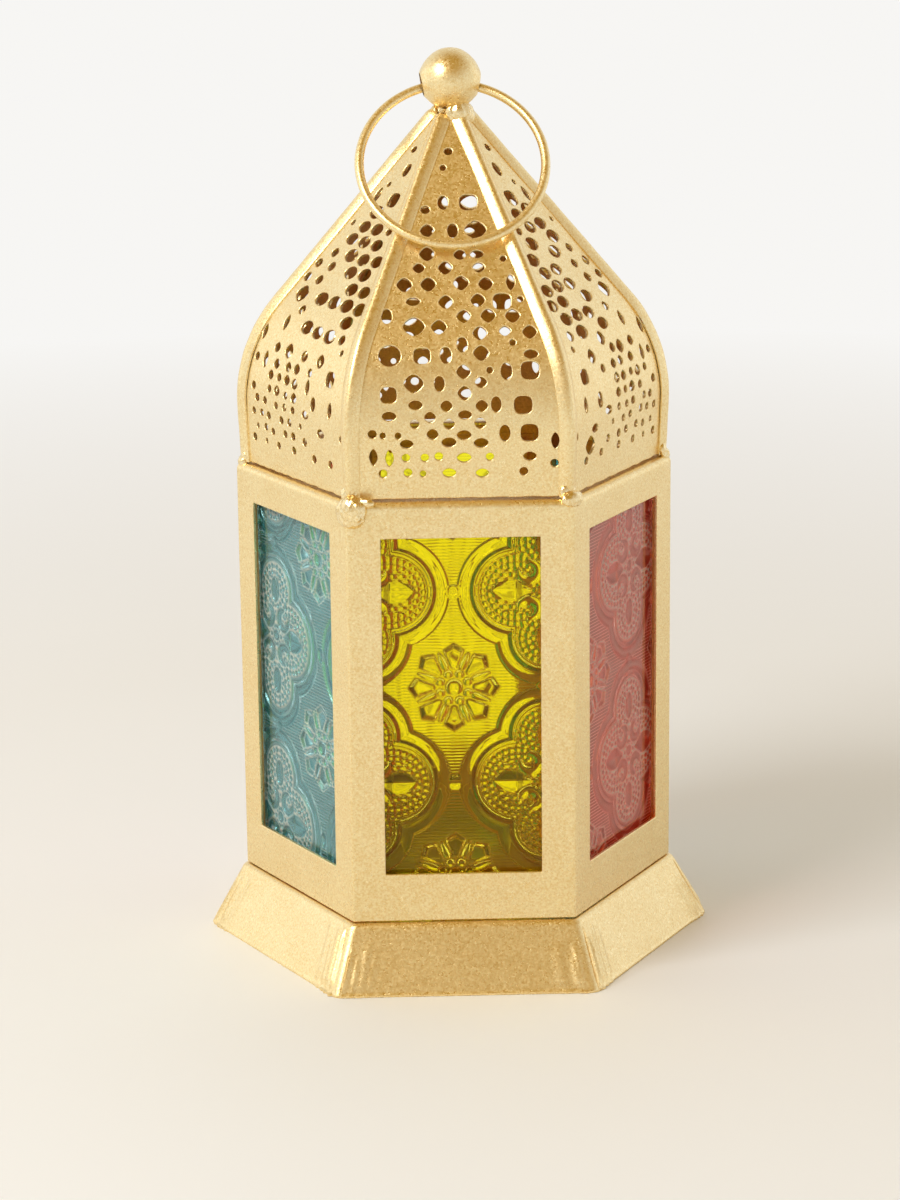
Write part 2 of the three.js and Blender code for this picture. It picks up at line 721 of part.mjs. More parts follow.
const lantern = new THREE.Group();

function addBody() {
  addPart(lantern, "pressed_base", pressedBase(), GOLD);
  addPart(lantern, "candle_cup", candleCup(), TIN);
  addPart(lantern, "body_shell_front", bodyShell(-1), GOLD);
  addPart(lantern, "body_shell_back", bodyShell(1), GOLD);
}

function addGlass(group, name, windowWidth, sheetInside, foot, index) {
  addPart(group, `glass_${name}`, glassPane(windowWidth, sheetInside), GLASS_COLOURS[index % 3]);
  for (const [word, side] of [["a", -1], ["b", 1]]) {
    const strip = glassChannel(windowWidth, sheetInside, foot, side);
    addPart(group, `channel_${name}_${word}`, strip, GOLD_INNER);
  }
}

function addDoor(group) {
  addPart(group, "door_frame", doorFrame(), GOLD);
  const lower = DOOR_LOW + HINGE_END;
  const upper = DOOR_HIGH - HINGE_END - HINGE_HEIGHT;
  for (const [word, low] of [["lower", lower], ["upper", upper]]) {
    addPart(group, `hinge_body_leaf_${word}`, bodyLeaf(low), GOLD);
    addPart(group, `hinge_door_leaf_${word}`, doorLeaf(low + HINGE_LEAF_HEIGHT + HINGE_GAP), GOLD);
    addPart(group, `hinge_pin_${word}`, hingePin(low), GOLD);
  }
  addPart(group, "turn_button", turnButton(), GOLD);
  addPart(group, "button_rivet", buttonRivet(), GOLD);
}

function addFaces() {
  FACES.forEach((name, index) => {
    const group = faceGroup(lantern, index);
    if (index === DOOR_FACE) {
      addDoor(group);
      addGlass(group, "door", DOOR_WINDOW_WIDTH, DOOR_BACK, DOOR_CHANNEL_FOOT, index);
    } else {
      addGlass(group, name, WINDOW_WIDTH, BODY_FACE - SHEET, CHANNEL_FOOT, index);
    }
    addPart(group, `dome_panel_${name}`, domePanel(), GOLD);
  });
}

function addCorners() {
  CORNERS.forEach((name, index) => {
    const group = new THREE.Group();
    group.rotation.z = cornerAngle(index);
    lantern.add(group);
    addPart(group, `dome_rib_${name}`, domeRib(), GOLD);
    addPart(group, `solder_${name}`, cornerSolder(), SOLDER);
  });
}

function addTop() {
  addPart(lantern, "finial_neck", neckSolder(), SOLDER);
  addPart(lantern, "finial_ball", ball(), GOLD);
  const hanger = new THREE.Group();
  hanger.position.z = PIVOT_Z;
  hanger.rotation.x = -restingLean();
  lantern.add(hanger);
  const ring = addPart(hanger, "hanging_ring", hangingRing(), GOLD);
  ring.position.z = -RING_MEAN_R;
}

addBody();
addFaces();
addCorners();
addTop();

export default lantern;
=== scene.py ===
# %% [markdown]
# # A six-sided iron lantern
# The lantern is made of thin painted sheet: a pressed foot, a folded body with patterned glass
# in its windows, a dome of six punched leaves, and a wire ring through a ball on top. The packed
# model gives every piece its place, and this lesson gives each one its real surface. Shapes are
# worked out in millimetres with numpy, as points on a grid of two parameters, and turned into
# metres when they become a mesh.

import math

import bpy
import numpy as np
from mathutils import Matrix, Vector
from mathutils.geometry import delaunay_2d_cdt


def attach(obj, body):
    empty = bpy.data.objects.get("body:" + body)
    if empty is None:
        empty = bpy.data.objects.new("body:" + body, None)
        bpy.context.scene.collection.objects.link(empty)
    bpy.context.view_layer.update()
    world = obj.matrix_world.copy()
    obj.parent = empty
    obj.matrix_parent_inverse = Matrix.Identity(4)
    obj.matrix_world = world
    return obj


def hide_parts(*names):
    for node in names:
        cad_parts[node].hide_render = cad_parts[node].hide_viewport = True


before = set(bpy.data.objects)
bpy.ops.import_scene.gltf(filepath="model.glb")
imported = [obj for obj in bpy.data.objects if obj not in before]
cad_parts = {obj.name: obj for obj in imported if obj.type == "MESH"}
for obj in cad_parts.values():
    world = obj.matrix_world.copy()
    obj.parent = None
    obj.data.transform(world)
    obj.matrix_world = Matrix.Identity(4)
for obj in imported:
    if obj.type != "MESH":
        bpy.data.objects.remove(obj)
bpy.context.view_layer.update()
MM = 0.001

# %% [markdown]
# ## The camera
# The photograph was taken a little from above and almost square to the front face, with a long
# lens. A camera could be turned by hand until it looks right. Here its place and turn come from
# fitting the corners of the lantern, so they are written as the angles that the fit gave.

# %% Camera
VIEW_FROM_LEFT = math.radians(-1.598)
VIEW_FROM_ABOVE = math.radians(14.681)
VIEW_DISTANCE = 820.345
VIEW_HEIGHT = 84.508
VIEW_YAW = math.radians(0.0911)
VIEW_PITCH = math.radians(-0.4342)
VIEW_ROLL = math.radians(0.6313)
LENS = 106.35


def camera_matrix():
    """Rotation whose columns are right, up and back, where back = (sin a cos e, -cos a cos e,
    sin e)."""
    level = math.cos(VIEW_FROM_ABOVE)
    aside, straight = math.sin(VIEW_FROM_LEFT), math.cos(VIEW_FROM_LEFT)
    back = Vector((aside * level, -straight * level, math.sin(VIEW_FROM_ABOVE)))
    place = Vector((0, 0, VIEW_HEIGHT)) + back * VIEW_DISTANCE
    ahead = -back
    right = ahead.cross(Vector((0, 0, 1))).normalized()
    up = right.cross(ahead)
    for axis, angle in (("up", VIEW_YAW), ("right", VIEW_PITCH), ("ahead", VIEW_ROLL)):
        turn = Matrix.Rotation(angle, 3, {"up": up, "right": right, "ahead": ahead}[axis])
        ahead, right, up = turn @ ahead, turn @ right, turn @ up
    turned = Matrix((right, up, -ahead)).transposed().to_4x4()
    return Matrix.Translation(place * MM) @ turned


camera = bpy.data.objects.new("camera", bpy.data.cameras.new("camera"))
camera.data.lens = LENS
camera.data.clip_start = 0.01
camera.matrix_world = camera_matrix()
bpy.context.scene.collection.objects.link(camera)
bpy.context.scene.camera = camera
bpy.context.scene.view_settings.view_transform = "Standard"
print("camera at", [round(value, 3) for value in camera.location])

# %% [markdown]
# ## From arrays to a mesh
# Most pieces are one closed skin over a row of rings, or a sheet that gets a back and a rim.
# `foreach_set` copies whole arrays into the mesh at once. A skin that comes out inside out has
# a negative volume, which is the sum of p0 . (p1 x p2) / 6 over its triangles, and is turned.


# %% Mesh helpers
def signed_volume(points, faces):
    """Sum of p0 . (p1 x p2) / 6 over the fan of triangles of every face."""
    total = 0.0
    for group in faces:
        first = points[group[:, 0]]
        for side in range(1, group.shape[1] - 1):
            cross = np.cross(points[group[:, side]], points[group[:, side + 1]])
            total += np.einsum("ij,ij->", first, cross)
    return total / 6


def new_mesh(name, points, faces):
    """A mesh from points in mm and a list of arrays of faces, each with its own corner count."""
    if signed_volume(points, faces) < 0:
        faces = [group[:, ::-1] for group in faces]
    loops = np.concatenate([group.ravel() for group in faces])
    counts = np.concatenate([np.full(len(group), group.shape[1]) for group in faces])
    mesh = bpy.data.meshes.new(name)
    mesh.vertices.add(len(points))
    mesh.vertices.foreach_set("co", (points * MM).ravel())
    mesh.loops.add(len(loops))
    mesh.loops.foreach_set("vertex_index", loops.astype(np.int32))
    mesh.polygons.add(len(counts))
    mesh.polygons.foreach_set("loop_start", (np.cumsum(counts) - counts).astype(np.int32))
    mesh.update(calc_edges=True)
    mesh.validate()
    return mesh


def add_piece(name, body, finish, shape, stands_for=(), crease=35.0):
    """One piece of the lantern, riding on its body and standing for its nodes."""
    points, faces = shape
    mesh = new_mesh(name, points, faces)
    mesh.shade_smooth()
    mesh.set_sharp_from_angle(angle=math.radians(crease))
    mesh.materials.append(finish)
    piece = bpy.data.objects.new(name, mesh)
    bpy.context.scene.collection.objects.link(piece)
    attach(piece, body)
    if stands_for:
        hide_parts(*stands_for)
    return piece


def skin(rings, looped=False):
    """Quads over rings (rows x columns x 3). Columns always close. Rows close if looped, and
    otherwise each end ring is closed by a fan to its middle."""
    rows, columns = rings.shape[:2]
    index = np.arange(rows * columns).reshape(rows, columns)
    if looped:
        index = np.vstack([index, index[:1]])
    beside = np.roll(index, -1, axis=1)
    quads = np.stack([index[:-1], beside[:-1], beside[1:], index[1:]], axis=-1).reshape(-1, 4)
    points = rings.reshape(-1, 3)
    if looped:
        return points, [quads]
    middle = len(points)
    points = np.vstack([points, rings[0].mean(0), rings[-1].mean(0)])
    first = np.stack([beside[0], index[0], np.full(columns, middle)], axis=-1)
    last = np.stack([index[-1], beside[-1], np.full(columns, middle + 1)], axis=-1)
    return points, [quads, np.vstack([first, last])]


def used_only(points, normals, faces):
    """Drop the points that no face uses."""
    used, renumbered = np.unique(faces, return_inverse=True)
    return points[used], normals[used], renumbered.reshape(faces.shape)


def thicken(points, normals, faces, thickness):
    """A sheet with a back at P - t N, and a rim on every edge that only one face has."""
    count = len(points)
    starts = faces.ravel()
    ends = np.roll(faces, -1, axis=1).ravel()
    key = np.minimum(starts, ends) * count + np.maximum(starts, ends)
    _, where, times = np.unique(key, return_index=True, return_counts=True)
    edge = where[times == 1]
    a, b = starts[edge], ends[edge]
    rim = np.stack([b, a, a + count, b + count], axis=-1)
    both = np.vstack([points, points - thickness * normals])
    if faces.shape[1] == 4:
        return both, [np.vstack([faces, faces[:, ::-1] + count, rim])]
    return both, [np.vstack([faces, faces[:, ::-1] + count]), rim]


def join(*shapes):
    """Several closed shapes as one."""
    points, faces, count = [], [], 0
    for some, groups in shapes:
        turned = groups if signed_volume(some, groups) > 0 else [group[:, ::-1] for group in groups]
        points.append(some)
        faces += [group + count for group in turned]
        count += len(some)
    return np.vstack(points), faces


def ripples(points, size, seed, waves=5):
    """Slow unevenness between -1 and 1: a mean of sines of seeded directions, size mm long."""
    draw = np.random.default_rng(seed)
    total = np.zeros(points.shape[:-1])
    for _ in range(waves):
        direction = draw.normal(size=points.shape[-1])
        direction /= np.linalg.norm(direction)
        turns = 2 * np.pi / (size * draw.uniform(0.7, 1.5))
        total += np.sin(points @ direction * turns + draw.uniform(0, 2 * np.pi))
    return total / waves


def bend_edges(piece, width, segments=2, angle=50.0):
    """A live bevel that rounds every edge sharper than the angle."""
    bevel = piece.modifiers.new("rounded edges", "BEVEL")
    bevel.width = width * MM
    bevel.segments = segments
    bevel.limit_method = "ANGLE"
    bevel.angle_limit = math.radians(angle)
    bevel.use_clamp_overlap = False
    return bevel


def line_inside(piece, finish):
    """Give a thickened sheet another finish behind: its back faces use only the second half of
    the points, so the lowest point number of such a face is at least half their count."""
    mesh = piece.data
    corners = np.empty(len(mesh.loops), np.int32)
    starts = np.empty(len(mesh.polygons), np.int32)
    mesh.loops.foreach_get("vertex_index", corners)
    mesh.polygons.foreach_get("loop_start", starts)
    behind = np.minimum.reduceat(corners, starts) >= len(mesh.vertices) // 2
    mesh.materials.append(finish)
    mesh.polygons.foreach_set("material_index", behind.astype(np.int32))


def smooth(low, high, value):
    """Smooth step: 0 below low, 1 above high, and 3 t^2 - 2 t^3 between."""
    share = np.clip((value - low) / (high - low), 0, 1)
    return share * share * (3 - 2 * share)


def grid_cells(index):
    """Quads (rows x columns x 4) of a grid of point numbers."""
    return np.stack([index[:-1, :-1], index[:-1, 1:], index[1:, 1:], index[1:, :-1]], axis=-1)


# %% [markdown]
# ## Finishes
# A finish is a small net of nodes. It reads Object coordinates, which are metres on the real
# lantern, so a grain of a quarter of a millimetre has a scale of about 4000. The helper below
# adds one node and feeds its sockets, either with a number or with another node's output.


# %% Node helpers
def node(tree, kind, inputs=None, **settings):
    """Add a node of that kind, with its settings and what goes into its sockets."""
    made = tree.nodes.new("ShaderNode" + kind)
    for key, value in settings.items():
        setattr(made, key, value)
    for key, value in (inputs or {}).items():
        if isinstance(value, bpy.types.NodeSocket):
            tree.links.new(value, made.inputs[key])
        else:
            made.inputs[key].default_value = value
    return made


def start_finish(name):
    """A new material with its tree, its main shader and its Object coordinates."""
    material = bpy.data.materials.new(name)
    material.use_nodes = True
    tree = material.node_tree
    place = node(tree, "TexCoord").outputs["Object"]
    return material, tree, tree.nodes["Principled BSDF"], place


def between(tree, value, low, high, out_low, out_high):
    """Map a value from low..high to out_low..out_high."""
    spread = {0: value, 1: low, 2: high, 3: out_low, 4: out_high}
    return node(tree, "MapRange", spread, clamp=True).outputs[0]


def blend_colours(tree, share, first, second):
    """A colour between two, by a share of the second."""
    mix = node(tree, "Mix", data_type="RGBA", clamp_factor=True)
    for key, value in ((0, share), (6, first), (7, second)):
        if isinstance(value, bpy.types.NodeSocket):
            tree.links.new(value, mix.inputs[key])
        else:
            mix.inputs[key].default_value = value
    return mix.outputs[2]


def maths(tree, operation, *values, clamp=False):
    """One sum, product or other operation on the values."""
    made = node(tree, "Math", dict(enumerate(values)), operation=operation, use_clamp=clamp)
    return made.outputs[0]


def sum_of(tree, first, second, weight=1.0):
    """first + weight x second."""
    return maths(tree, "MULTIPLY_ADD", second, weight, first)


# %% [markdown]
# ## Gold paint
# The iron is sprayed with a champagne-gold paint: tiny metal flakes in a clear binder. From
# afar it is a satin metal, and close up it is a fine grain with a few bright flakes. A flat
# metal colour would look like plastic foil. Here a noise of a quarter millimetre moves the
# colour, the roughness and the height together, and a slow noise lets the coat thin out. The
# inside paint is browner and duller: partly browned by the candle, and partly painted shade,
# as little light gets in. The coat on the solder is glossier.


# %% Gold paint
def gold_paint(name, light, dark, roughness, grain=2300.0, depth=0.00003):
    """Metal-flake paint between two golds, with its grain per metre and its bump in metres."""
    material, tree, shader, place = start_finish(name)
    grains = node(tree, "TexNoise", {"Vector": place, "Scale": grain, "Detail": 2.0}).outputs["Fac"]
    coat = node(tree, "TexNoise", {"Vector": place, "Scale": 90.0, "Detail": 1.0}).outputs["Fac"]
    flakes = node(tree, "TexVoronoi", {"Vector": place, "Scale": grain * 1.3}).outputs["Color"]
    flake = node(tree, "SeparateColor", {"Color": flakes}).outputs["Red"]
    slow = between(tree, coat, 0.35, 0.65, 0.0, 0.1)
    tone = sum_of(tree, slow, between(tree, grains, 0.3, 0.7, 0.1, 0.9))
    colour = blend_colours(tree, tone, (*dark, 1.0), (*light, 1.0))
    tree.links.new(colour, shader.inputs["Base Color"])
    shader.inputs["Metallic"].default_value = 1.0
    rough = between(tree, flake, 0.0, 1.0, roughness - 0.14, roughness + 0.08)
    tree.links.new(rough, shader.inputs["Roughness"])
    height = sum_of(tree, sum_of(tree, grains, flake, 0.25), coat, 0.8)
    bump = node(tree, "Bump", {"Height": height, "Strength": 0.8, "Distance": depth})
    tree.links.new(bump.outputs["Normal"], shader.inputs["Normal"])
    return material


GOLD_LIGHT = (1.0, 0.85, 0.50)
GOLD_DARK = (0.84, 0.60, 0.25)
# The inside's two golds are browner and darker: partly the candle's browning, partly painted shade.
INSIDE_SHADED_LIGHT = (0.86, 0.49, 0.18)
INSIDE_SHADED_DARK = (0.66, 0.35, 0.11)
SOLDER_LIGHT = (1.0, 0.86, 0.54)
SOLDER_DARK = (0.80, 0.58, 0.25)
gold = gold_paint("gold_paint", GOLD_LIGHT, GOLD_DARK, 0.40)
inside_paint_browned_and_shaded = gold_paint("gold_paint_inside_browned_and_shaded", INSIDE_SHADED_LIGHT, INSIDE_SHADED_DARK, 0.52)
solder_paint = gold_paint("gold_paint_on_solder", SOLDER_LIGHT, SOLDER_DARK, 0.28, 1800.0, 0.00004)
print("paints", gold.name, inside_paint_browned_and_shaded.name, solder_paint.name)

# %% [markdown]
# ## Bare tin
# The cup that holds the candle isn't painted, and the flame has browned it. Rolled tin has fine
# lines from the rollers and a faint bloom, so a noise that is stretched along one direction
# gives its brightness and bump.


# %% Bare tin
TIN_DARK = (0.33, 0.24, 0.17)
TIN_LIGHT = (0.56, 0.46, 0.37)
ROLLED = (60.0, 2600.0, 2600.0)  # noise cells per metre along X and across it


def bare_tin():
    """Rolled tinplate, browned by the candle's heat: metal with fine lines along X."""
    material, tree, shader, place = start_finish("bare_tin")
    drawn = node(tree, "Mapping", {"Vector": place, "Scale": ROLLED}).outputs["Vector"]
    lines = node(tree, "TexNoise", {"Vector": drawn, "Scale": 1.0, "Detail": 3.0}).outputs["Fac"]
    bloom = node(tree, "TexNoise", {"Vector": place, "Scale": 160.0, "Detail": 3.0}).outputs["Fac"]
    tone = sum_of(tree, between(tree, lines, 0.3, 0.7, 0.0, 0.5), bloom, 0.5)
    colour = blend_colours(tree, tone, (*TIN_DARK, 1.0), (*TIN_LIGHT, 1.0))
    tree.links.new(colour, shader.inputs["Base Color"])
    shader.inputs["Metallic"].default_value = 1.0
    tree.links.new(between(tree, bloom, 0.3, 0.7, 0.28, 0.45), shader.inputs["Roughness"])
    bump = node(tree, "Bump", {"Height": lines, "Strength": 0.4, "Distance": 0.00001})
    tree.links.new(bump.outputs["Normal"], shader.inputs["Normal"])
    return material


tin = bare_tin()
print("metal", tin.name)

# %% [markdown]
# ## Coloured glass
# The panes are clear pressed glass with a coloured lacquer baked on the patterned side. The
# lacquer lets most light through in its own colour and scatters a share of it, which is why a
# pane seen from the side looks like enamel. Pale dust has settled in the grooves, which draws
# the outlines of the pattern. In the grooves and on steep slopes and facets, what passes is
# also darkened towards a shaded tint: this is painted shade of the relief. Four numbers stored
# on the mesh say where: "lacquer" is 1 on the patterned side, "groove" is 1 in the grooves,
# "steep" is 1 on the slopes and facets that get the painted shade, and "field" is 1 between
# the figures, where fine ribs run three quarters of a millimetre apart. Glass takes the root of
# its colour at each side, so the patterned side gets tint x tint / outer. A lamp's rays can't
# find their way through bent glass, so for shadow rays alone each side is a plain film.


# %% Coloured glass
FILM = 0.92
FINE_RIB = 0.75
HATCH = 0.5  # how far the hollow between two fine ribs counts as a groove
LINE_SHADE = 0.5  # how far a groove darkens what passes, where a steep slope counts as 1
UNEVEN_SHARE = 0.3  # how far the lacquer's scattered share strays from its mean
GLASS_ROUGH = 0.03
LACQUER_ROUGH = 0.18
PANE_MARKS = ("lacquer", "groove", "steep", "field")


def coloured_glass(
    name, tint, outer, gloss, shaded_tint, enamel, pale, share, groove_share, mirror, film
):
    """Glass with lacquer on one side: what it lets through in all and at its outer side, its
    mirror tint, the darker colour it lets through in grooves and on steep places as painted
    shade, what it scatters plain and in grooves and how much, how much the lacquer mirrors,
    and its film for lamps."""
    material, tree, shader, place = start_finish(name)
    swirl = node(tree, "TexNoise", {"Vector": place, "Scale": 260.0, "Detail": 2.0}).outputs["Fac"]
    coat = node(tree, "TexNoise", {"Vector": place, "Scale": 120.0, "Detail": 3.0}).outputs["Fac"]
    side, deep, steep, field = (
        node(tree, "Attribute", attribute_name=word).outputs["Fac"] for word in PANE_MARKS
    )
    height = node(tree, "SeparateXYZ", {0: place}).outputs["Z"]
    phase = maths(tree, "MULTIPLY", height, math.pi / (FINE_RIB * MM))
    rib_top = maths(tree, "ABSOLUTE", maths(tree, "SINE", phase))
    between_ribs = between(tree, rib_top, 0.1, 0.6, HATCH, 0.0)
    groove = maths(tree, "MULTIPLY_ADD", between_ribs, field, deep, clamp=True)
    inner = tuple(min(1.0, t * t / o) for t, o in zip(tint, outer))
    # Painted shade: in the grooves and on steep slopes and facets, what passes is darkened towards the
    # shaded tint.
    thick = maths(tree, "MAXIMUM", maths(tree, "MULTIPLY", groove, LINE_SHADE), steep)
    passed = blend_colours(tree, thick, (*inner, 1.0), (*shaded_tint, 1.0))
    tree.links.new(blend_colours(tree, side, (*outer, 1.0), passed), shader.inputs["Base Color"])
    shader.inputs["Transmission Weight"].default_value = 1.0
    shader.inputs["Roughness"].default_value = GLASS_ROUGH
    shader.inputs["IOR"].default_value = 1.5
    shader.inputs["Specular Tint"].default_value = (*gloss, 1.0)
    uneven = sum_of(tree, swirl, maths(tree, "MULTIPLY", rib_top, field), 1.2)
    bump = node(tree, "Bump", {"Height": uneven, "Strength": 0.5, "Distance": 0.00005})
    tree.links.new(bump.outputs["Normal"], shader.inputs["Normal"])
    low, high = share * (1 - UNEVEN_SHARE), share * (1 + UNEVEN_SHARE)
    opaque = sum_of(tree, between(tree, coat, 0.3, 0.7, low, high), groove, groove_share)
    opaque = maths(tree, "MULTIPLY", opaque, side, clamp=True)
    scattered = blend_colours(tree, groove, (*enamel, 1.0), (*pale, 1.0))
    scatter = node(tree, "BsdfDiffuse", {"Color": scattered}).outputs[0]
    mirrored = {"Color": (*gloss, 1.0), "Roughness": LACQUER_ROUGH, "Normal": bump.outputs[0]}
    polished = node(tree, "BsdfAnisotropic", mirrored).outputs[0]
    shine = maths(tree, "MULTIPLY", side, mirror)
    clear = node(tree, "MixShader", {0: shine, 1: shader.outputs[0], 2: polished}).outputs[0]
    body = node(tree, "MixShader", {0: opaque, 1: clear, 2: scatter}).outputs[0]
    film_here = blend_colours(tree, side, (FILM, FILM, FILM, 1.0), (*film, 1.0))
    passing = node(tree, "BsdfTransparent", {"Color": film_here}).outputs[0]
    shadow = node(tree, "LightPath").outputs["Is Shadow Ray"]
    either = node(tree, "MixShader", {0: shadow, 1: body, 2: passing}).outputs[0]
    tree.links.new(either, tree.nodes["Material Output"].inputs["Surface"])
    return material


# The fourth colour of each glass is the painted shade that passes in grooves and on steep places.
GLASS = {
    "yellow": coloured_glass(
        "yellow_glass",
        tint=(1.0, 0.92, 0.03),
        outer=(1.0, 0.94, 0.06),
        gloss=(1.0, 0.86, 0.3),
        shaded_tint=(0.08, 0.013, 0.002),
        enamel=(1.0, 0.62, 0.03),
        pale=(1.0, 0.56, 0.08),
        share=0.05,
        groove_share=0.25,
        mirror=0.0,
        film=(0.92, 0.55, 0.05),
    ),
    "teal": coloured_glass(
        "teal_glass",
        tint=(0.09, 0.50, 0.52),
        outer=(0.66, 0.96, 0.98),
        gloss=(0.75, 1.0, 1.0),
        shaded_tint=(0.01, 0.06, 0.07),
        enamel=(0.05, 0.38, 0.41),
        pale=(0.92, 0.63, 0.50),
        share=0.21,
        groove_share=0.62,
        mirror=0.16,
        film=(0.10, 0.14, 0.13),
    ),
    "red": coloured_glass(
        "red_glass",
        tint=(0.80, 0.13, 0.09),
        outer=(1.0, 0.66, 0.56),
        gloss=(1.0, 0.72, 0.6),
        shaded_tint=(0.12, 0.01, 0.01),
        enamel=(1.0, 0.19, 0.14),
        pale=(0.80, 0.93, 0.87),
        share=0.35,
        groove_share=1.15,
        mirror=0.14,
        film=(0.55, 0.16, 0.10),
    ),
}
print("glass", sorted(GLASS))

# %% [markdown]
# ## The six-sided plan
# Every level of the foot and the body is a hexagon with rounded corners. One function gives any
# of them. A column of the grid belongs to the corner k nearest to it and says how far along it
# is from that corner, v from -1 to 1. The inner part of v turns round the corner's arc, and the
# outer part runs along the straight side, so corners stay well rounded at every size.

# %% Hexagon with rounded corners
COS30 = math.cos(math.pi / 6)
TAN30 = math.tan(math.pi / 6)
ARC_SHARE = 0.16


def plan_columns(arc_steps, side_steps, gather=1.6):
    """The corner index and the place v of every column round the plan, closer near corners."""
    arc = np.linspace(-ARC_SHARE, ARC_SHARE, arc_steps + 1)
    side = np.linspace(0, 1, side_steps + 1)[1:] ** gather * (1 - ARC_SHARE) + ARC_SHARE
    one = np.concatenate([-side[:-1][::-1], arc, side])
    corner = np.repeat(np.arange(6), len(one))
    return corner, np.tile(one, 6)


def hexagon(size, fillet, corner, v):
    """Points and outward normals of hexagons whose corners lie at size from the axis.

    With e_r and e_t the directions out of and along a corner, the arc is
    (size - f / cos 30) e_r + f (cos b e_r + sin b e_t) with b = 30 degrees x v / v_arc, and the
    side is size e_r + d (-1/2 e_r +- cos 30 e_t), with d from f tan 30 to size / 2.
    size and fillet are columns of rows, corner and v are rows of columns.
    """
    angle = corner * math.pi / 3
    out = np.stack([np.cos(angle), np.sin(angle)], axis=-1)
    along = np.stack([-np.sin(angle), np.cos(angle)], axis=-1)
    sign = np.sign(v)[..., None]
    start = fillet * TAN30
    share = np.clip((np.abs(v) - ARC_SHARE) / (1 - ARC_SHARE), 0, 1)
    distance = start + (size / 2 - start) * share
    far = distance[..., None]
    side = size[..., None] * out + far * (-0.5 * out + sign * COS30 * along)
    side_normal = COS30 * out + 0.5 * sign * along
    turn = (np.clip(v / ARC_SHARE, -1, 1) * math.pi / 6)[..., None]
    arc_normal = np.cos(turn) * out + np.sin(turn) * along
    centre = (size - fillet / COS30)[..., None]
    arc = centre * out + fillet[..., None] * arc_normal
    on_arc = (np.abs(v) <= ARC_SHARE)[..., None]
    points = np.where(on_arc, arc, side)
    normals = np.where(on_arc, arc_normal, side_normal + 0 * points)
    return points, normals, distance * np.sign(v) * (np.abs(v) > ARC_SHARE)


# %% [markdown]
# ## The pressed foot
# One sheet is pressed down over a six-sided block: a flat floor, a rounded shoulder, a slanting
# skirt and a plain rounded edge. The iron has to gather at the six corners, which leaves short
# upright creases there. A cone with six sides would miss them. The profile below is walked as
# rings from the middle of the floor to the edge and back underneath, and every crease is a soft
# ridge, a exp(-((d - d0) / w)^2), that fades in down the skirt and weakens again at its edge.

# %% Pressed foot
BASE_TOP = 15.0
BASE_SHOULDER_CORNER = 51.6
SHOULDER_TURN = math.radians(60)
BASE_SHOULDER_R = 2.0
SKIRT_FOOT_CORNER = 58.5
EDGE_CORNER = 58.8
SKIRT_FOOT_Z = 0.75
SHEET = 0.8
BODY_CORNER = 50.0
FLOOR_REACH = 42.0  # the floor's part that lies inside the body and gets the inner paint
FLOOR_FILLET = 3.0
SHOULDER_FILLET = 2.3
EDGE_FILLET = 3.0
UNDER_FILLET = 2.2
EDGE_ROWS = (  # size off the edge's corner, height and crease share, round the skirt's edge
    (-0.02, SKIRT_FOOT_Z - 0.25, 0.8),
    (0.0, SKIRT_FOOT_Z - 0.4, 0.7),
    (-0.08, 0.08, 0.6),
    (-0.25, 0.0, 0.5),
)
CREASES_PER_CORNER = 8
SOFTER_SIDES = ((4, 1), (5, -1), (1, 1), (2, -1))  # the front and back faces' own creases


def foot_profile():
    """Rows of (corner size, height, fillet, crease share) from the floor's middle, over the
    shoulder, down the skirt, round its edge and back up underneath."""
    wall = SHEET / COS30
    rows = [(size, BASE_TOP, FLOOR_FILLET, 0.0) for size in (12.0, 26.0, 38.0, 46.0)]
    shoulder = BASE_SHOULDER_CORNER - BASE_SHOULDER_R
    for angle in np.linspace(0, SHOULDER_TURN, 8):
        size = shoulder + BASE_SHOULDER_R * math.sin(angle)
        height = BASE_TOP - BASE_SHOULDER_R * (1 - math.cos(angle))
        rows.append((size, height, SHOULDER_FILLET, 0.0))
    start, top = rows[-1][:2]
    for share in np.linspace(0, 1, 30)[1:]:
        size = start + (SKIRT_FOOT_CORNER - start) * share
        height = top + (SKIRT_FOOT_Z - top) * share
        rows.append((size, height, SHOULDER_FILLET - 0.5 * share, share))
    rows += [(EDGE_CORNER + off, height, EDGE_FILLET, crease) for off, height, crease in EDGE_ROWS]
    rows.append((EDGE_CORNER - 0.7 * wall, 0.0, 2.4, 0.0))
    under = ((start - wall, top), (shoulder - 0.2, BASE_TOP - SHEET), (10.0, BASE_TOP - SHEET))
    rows += [(size, height, UNDER_FILLET, 0.0) for size, height in under]
    return np.array(rows)


def foot_creases(distance, share, corner, seed):
    """How far the skirt stands out, in mm: a sum of soft upright ridges near each corner."""
    draw = np.random.default_rng(seed)
    raised = np.zeros(np.broadcast(distance, share).shape)
    for index in range(6):
        near = corner == index
        for number in range(CREASES_PER_CORNER):
            side = -1 if number % 2 else 1
            middle = side * (1.0 + number * 0.95 + draw.uniform(-0.3, 0.3))
            width = draw.uniform(0.5, 0.8)
            size = draw.uniform(0.34, 0.56) * (1.0 - number / (CREASES_PER_CORNER + 3))
            start = draw.uniform(-0.15, 0.15)
            if (index, side) in SOFTER_SIDES:
                size, start, width = 0.75 * size, start + 0.25, 1.2 * width
            else:
                size *= 1.5
            lean = side * draw.uniform(0.0, 0.9)
            ridge = np.exp(-(((distance - middle - lean * share) / width) ** 2))
            raised += near * size * ridge * smooth(start, start + 0.3, share)
    return raised * (1 - 0.8 * smooth(0.8, 1.0, share))


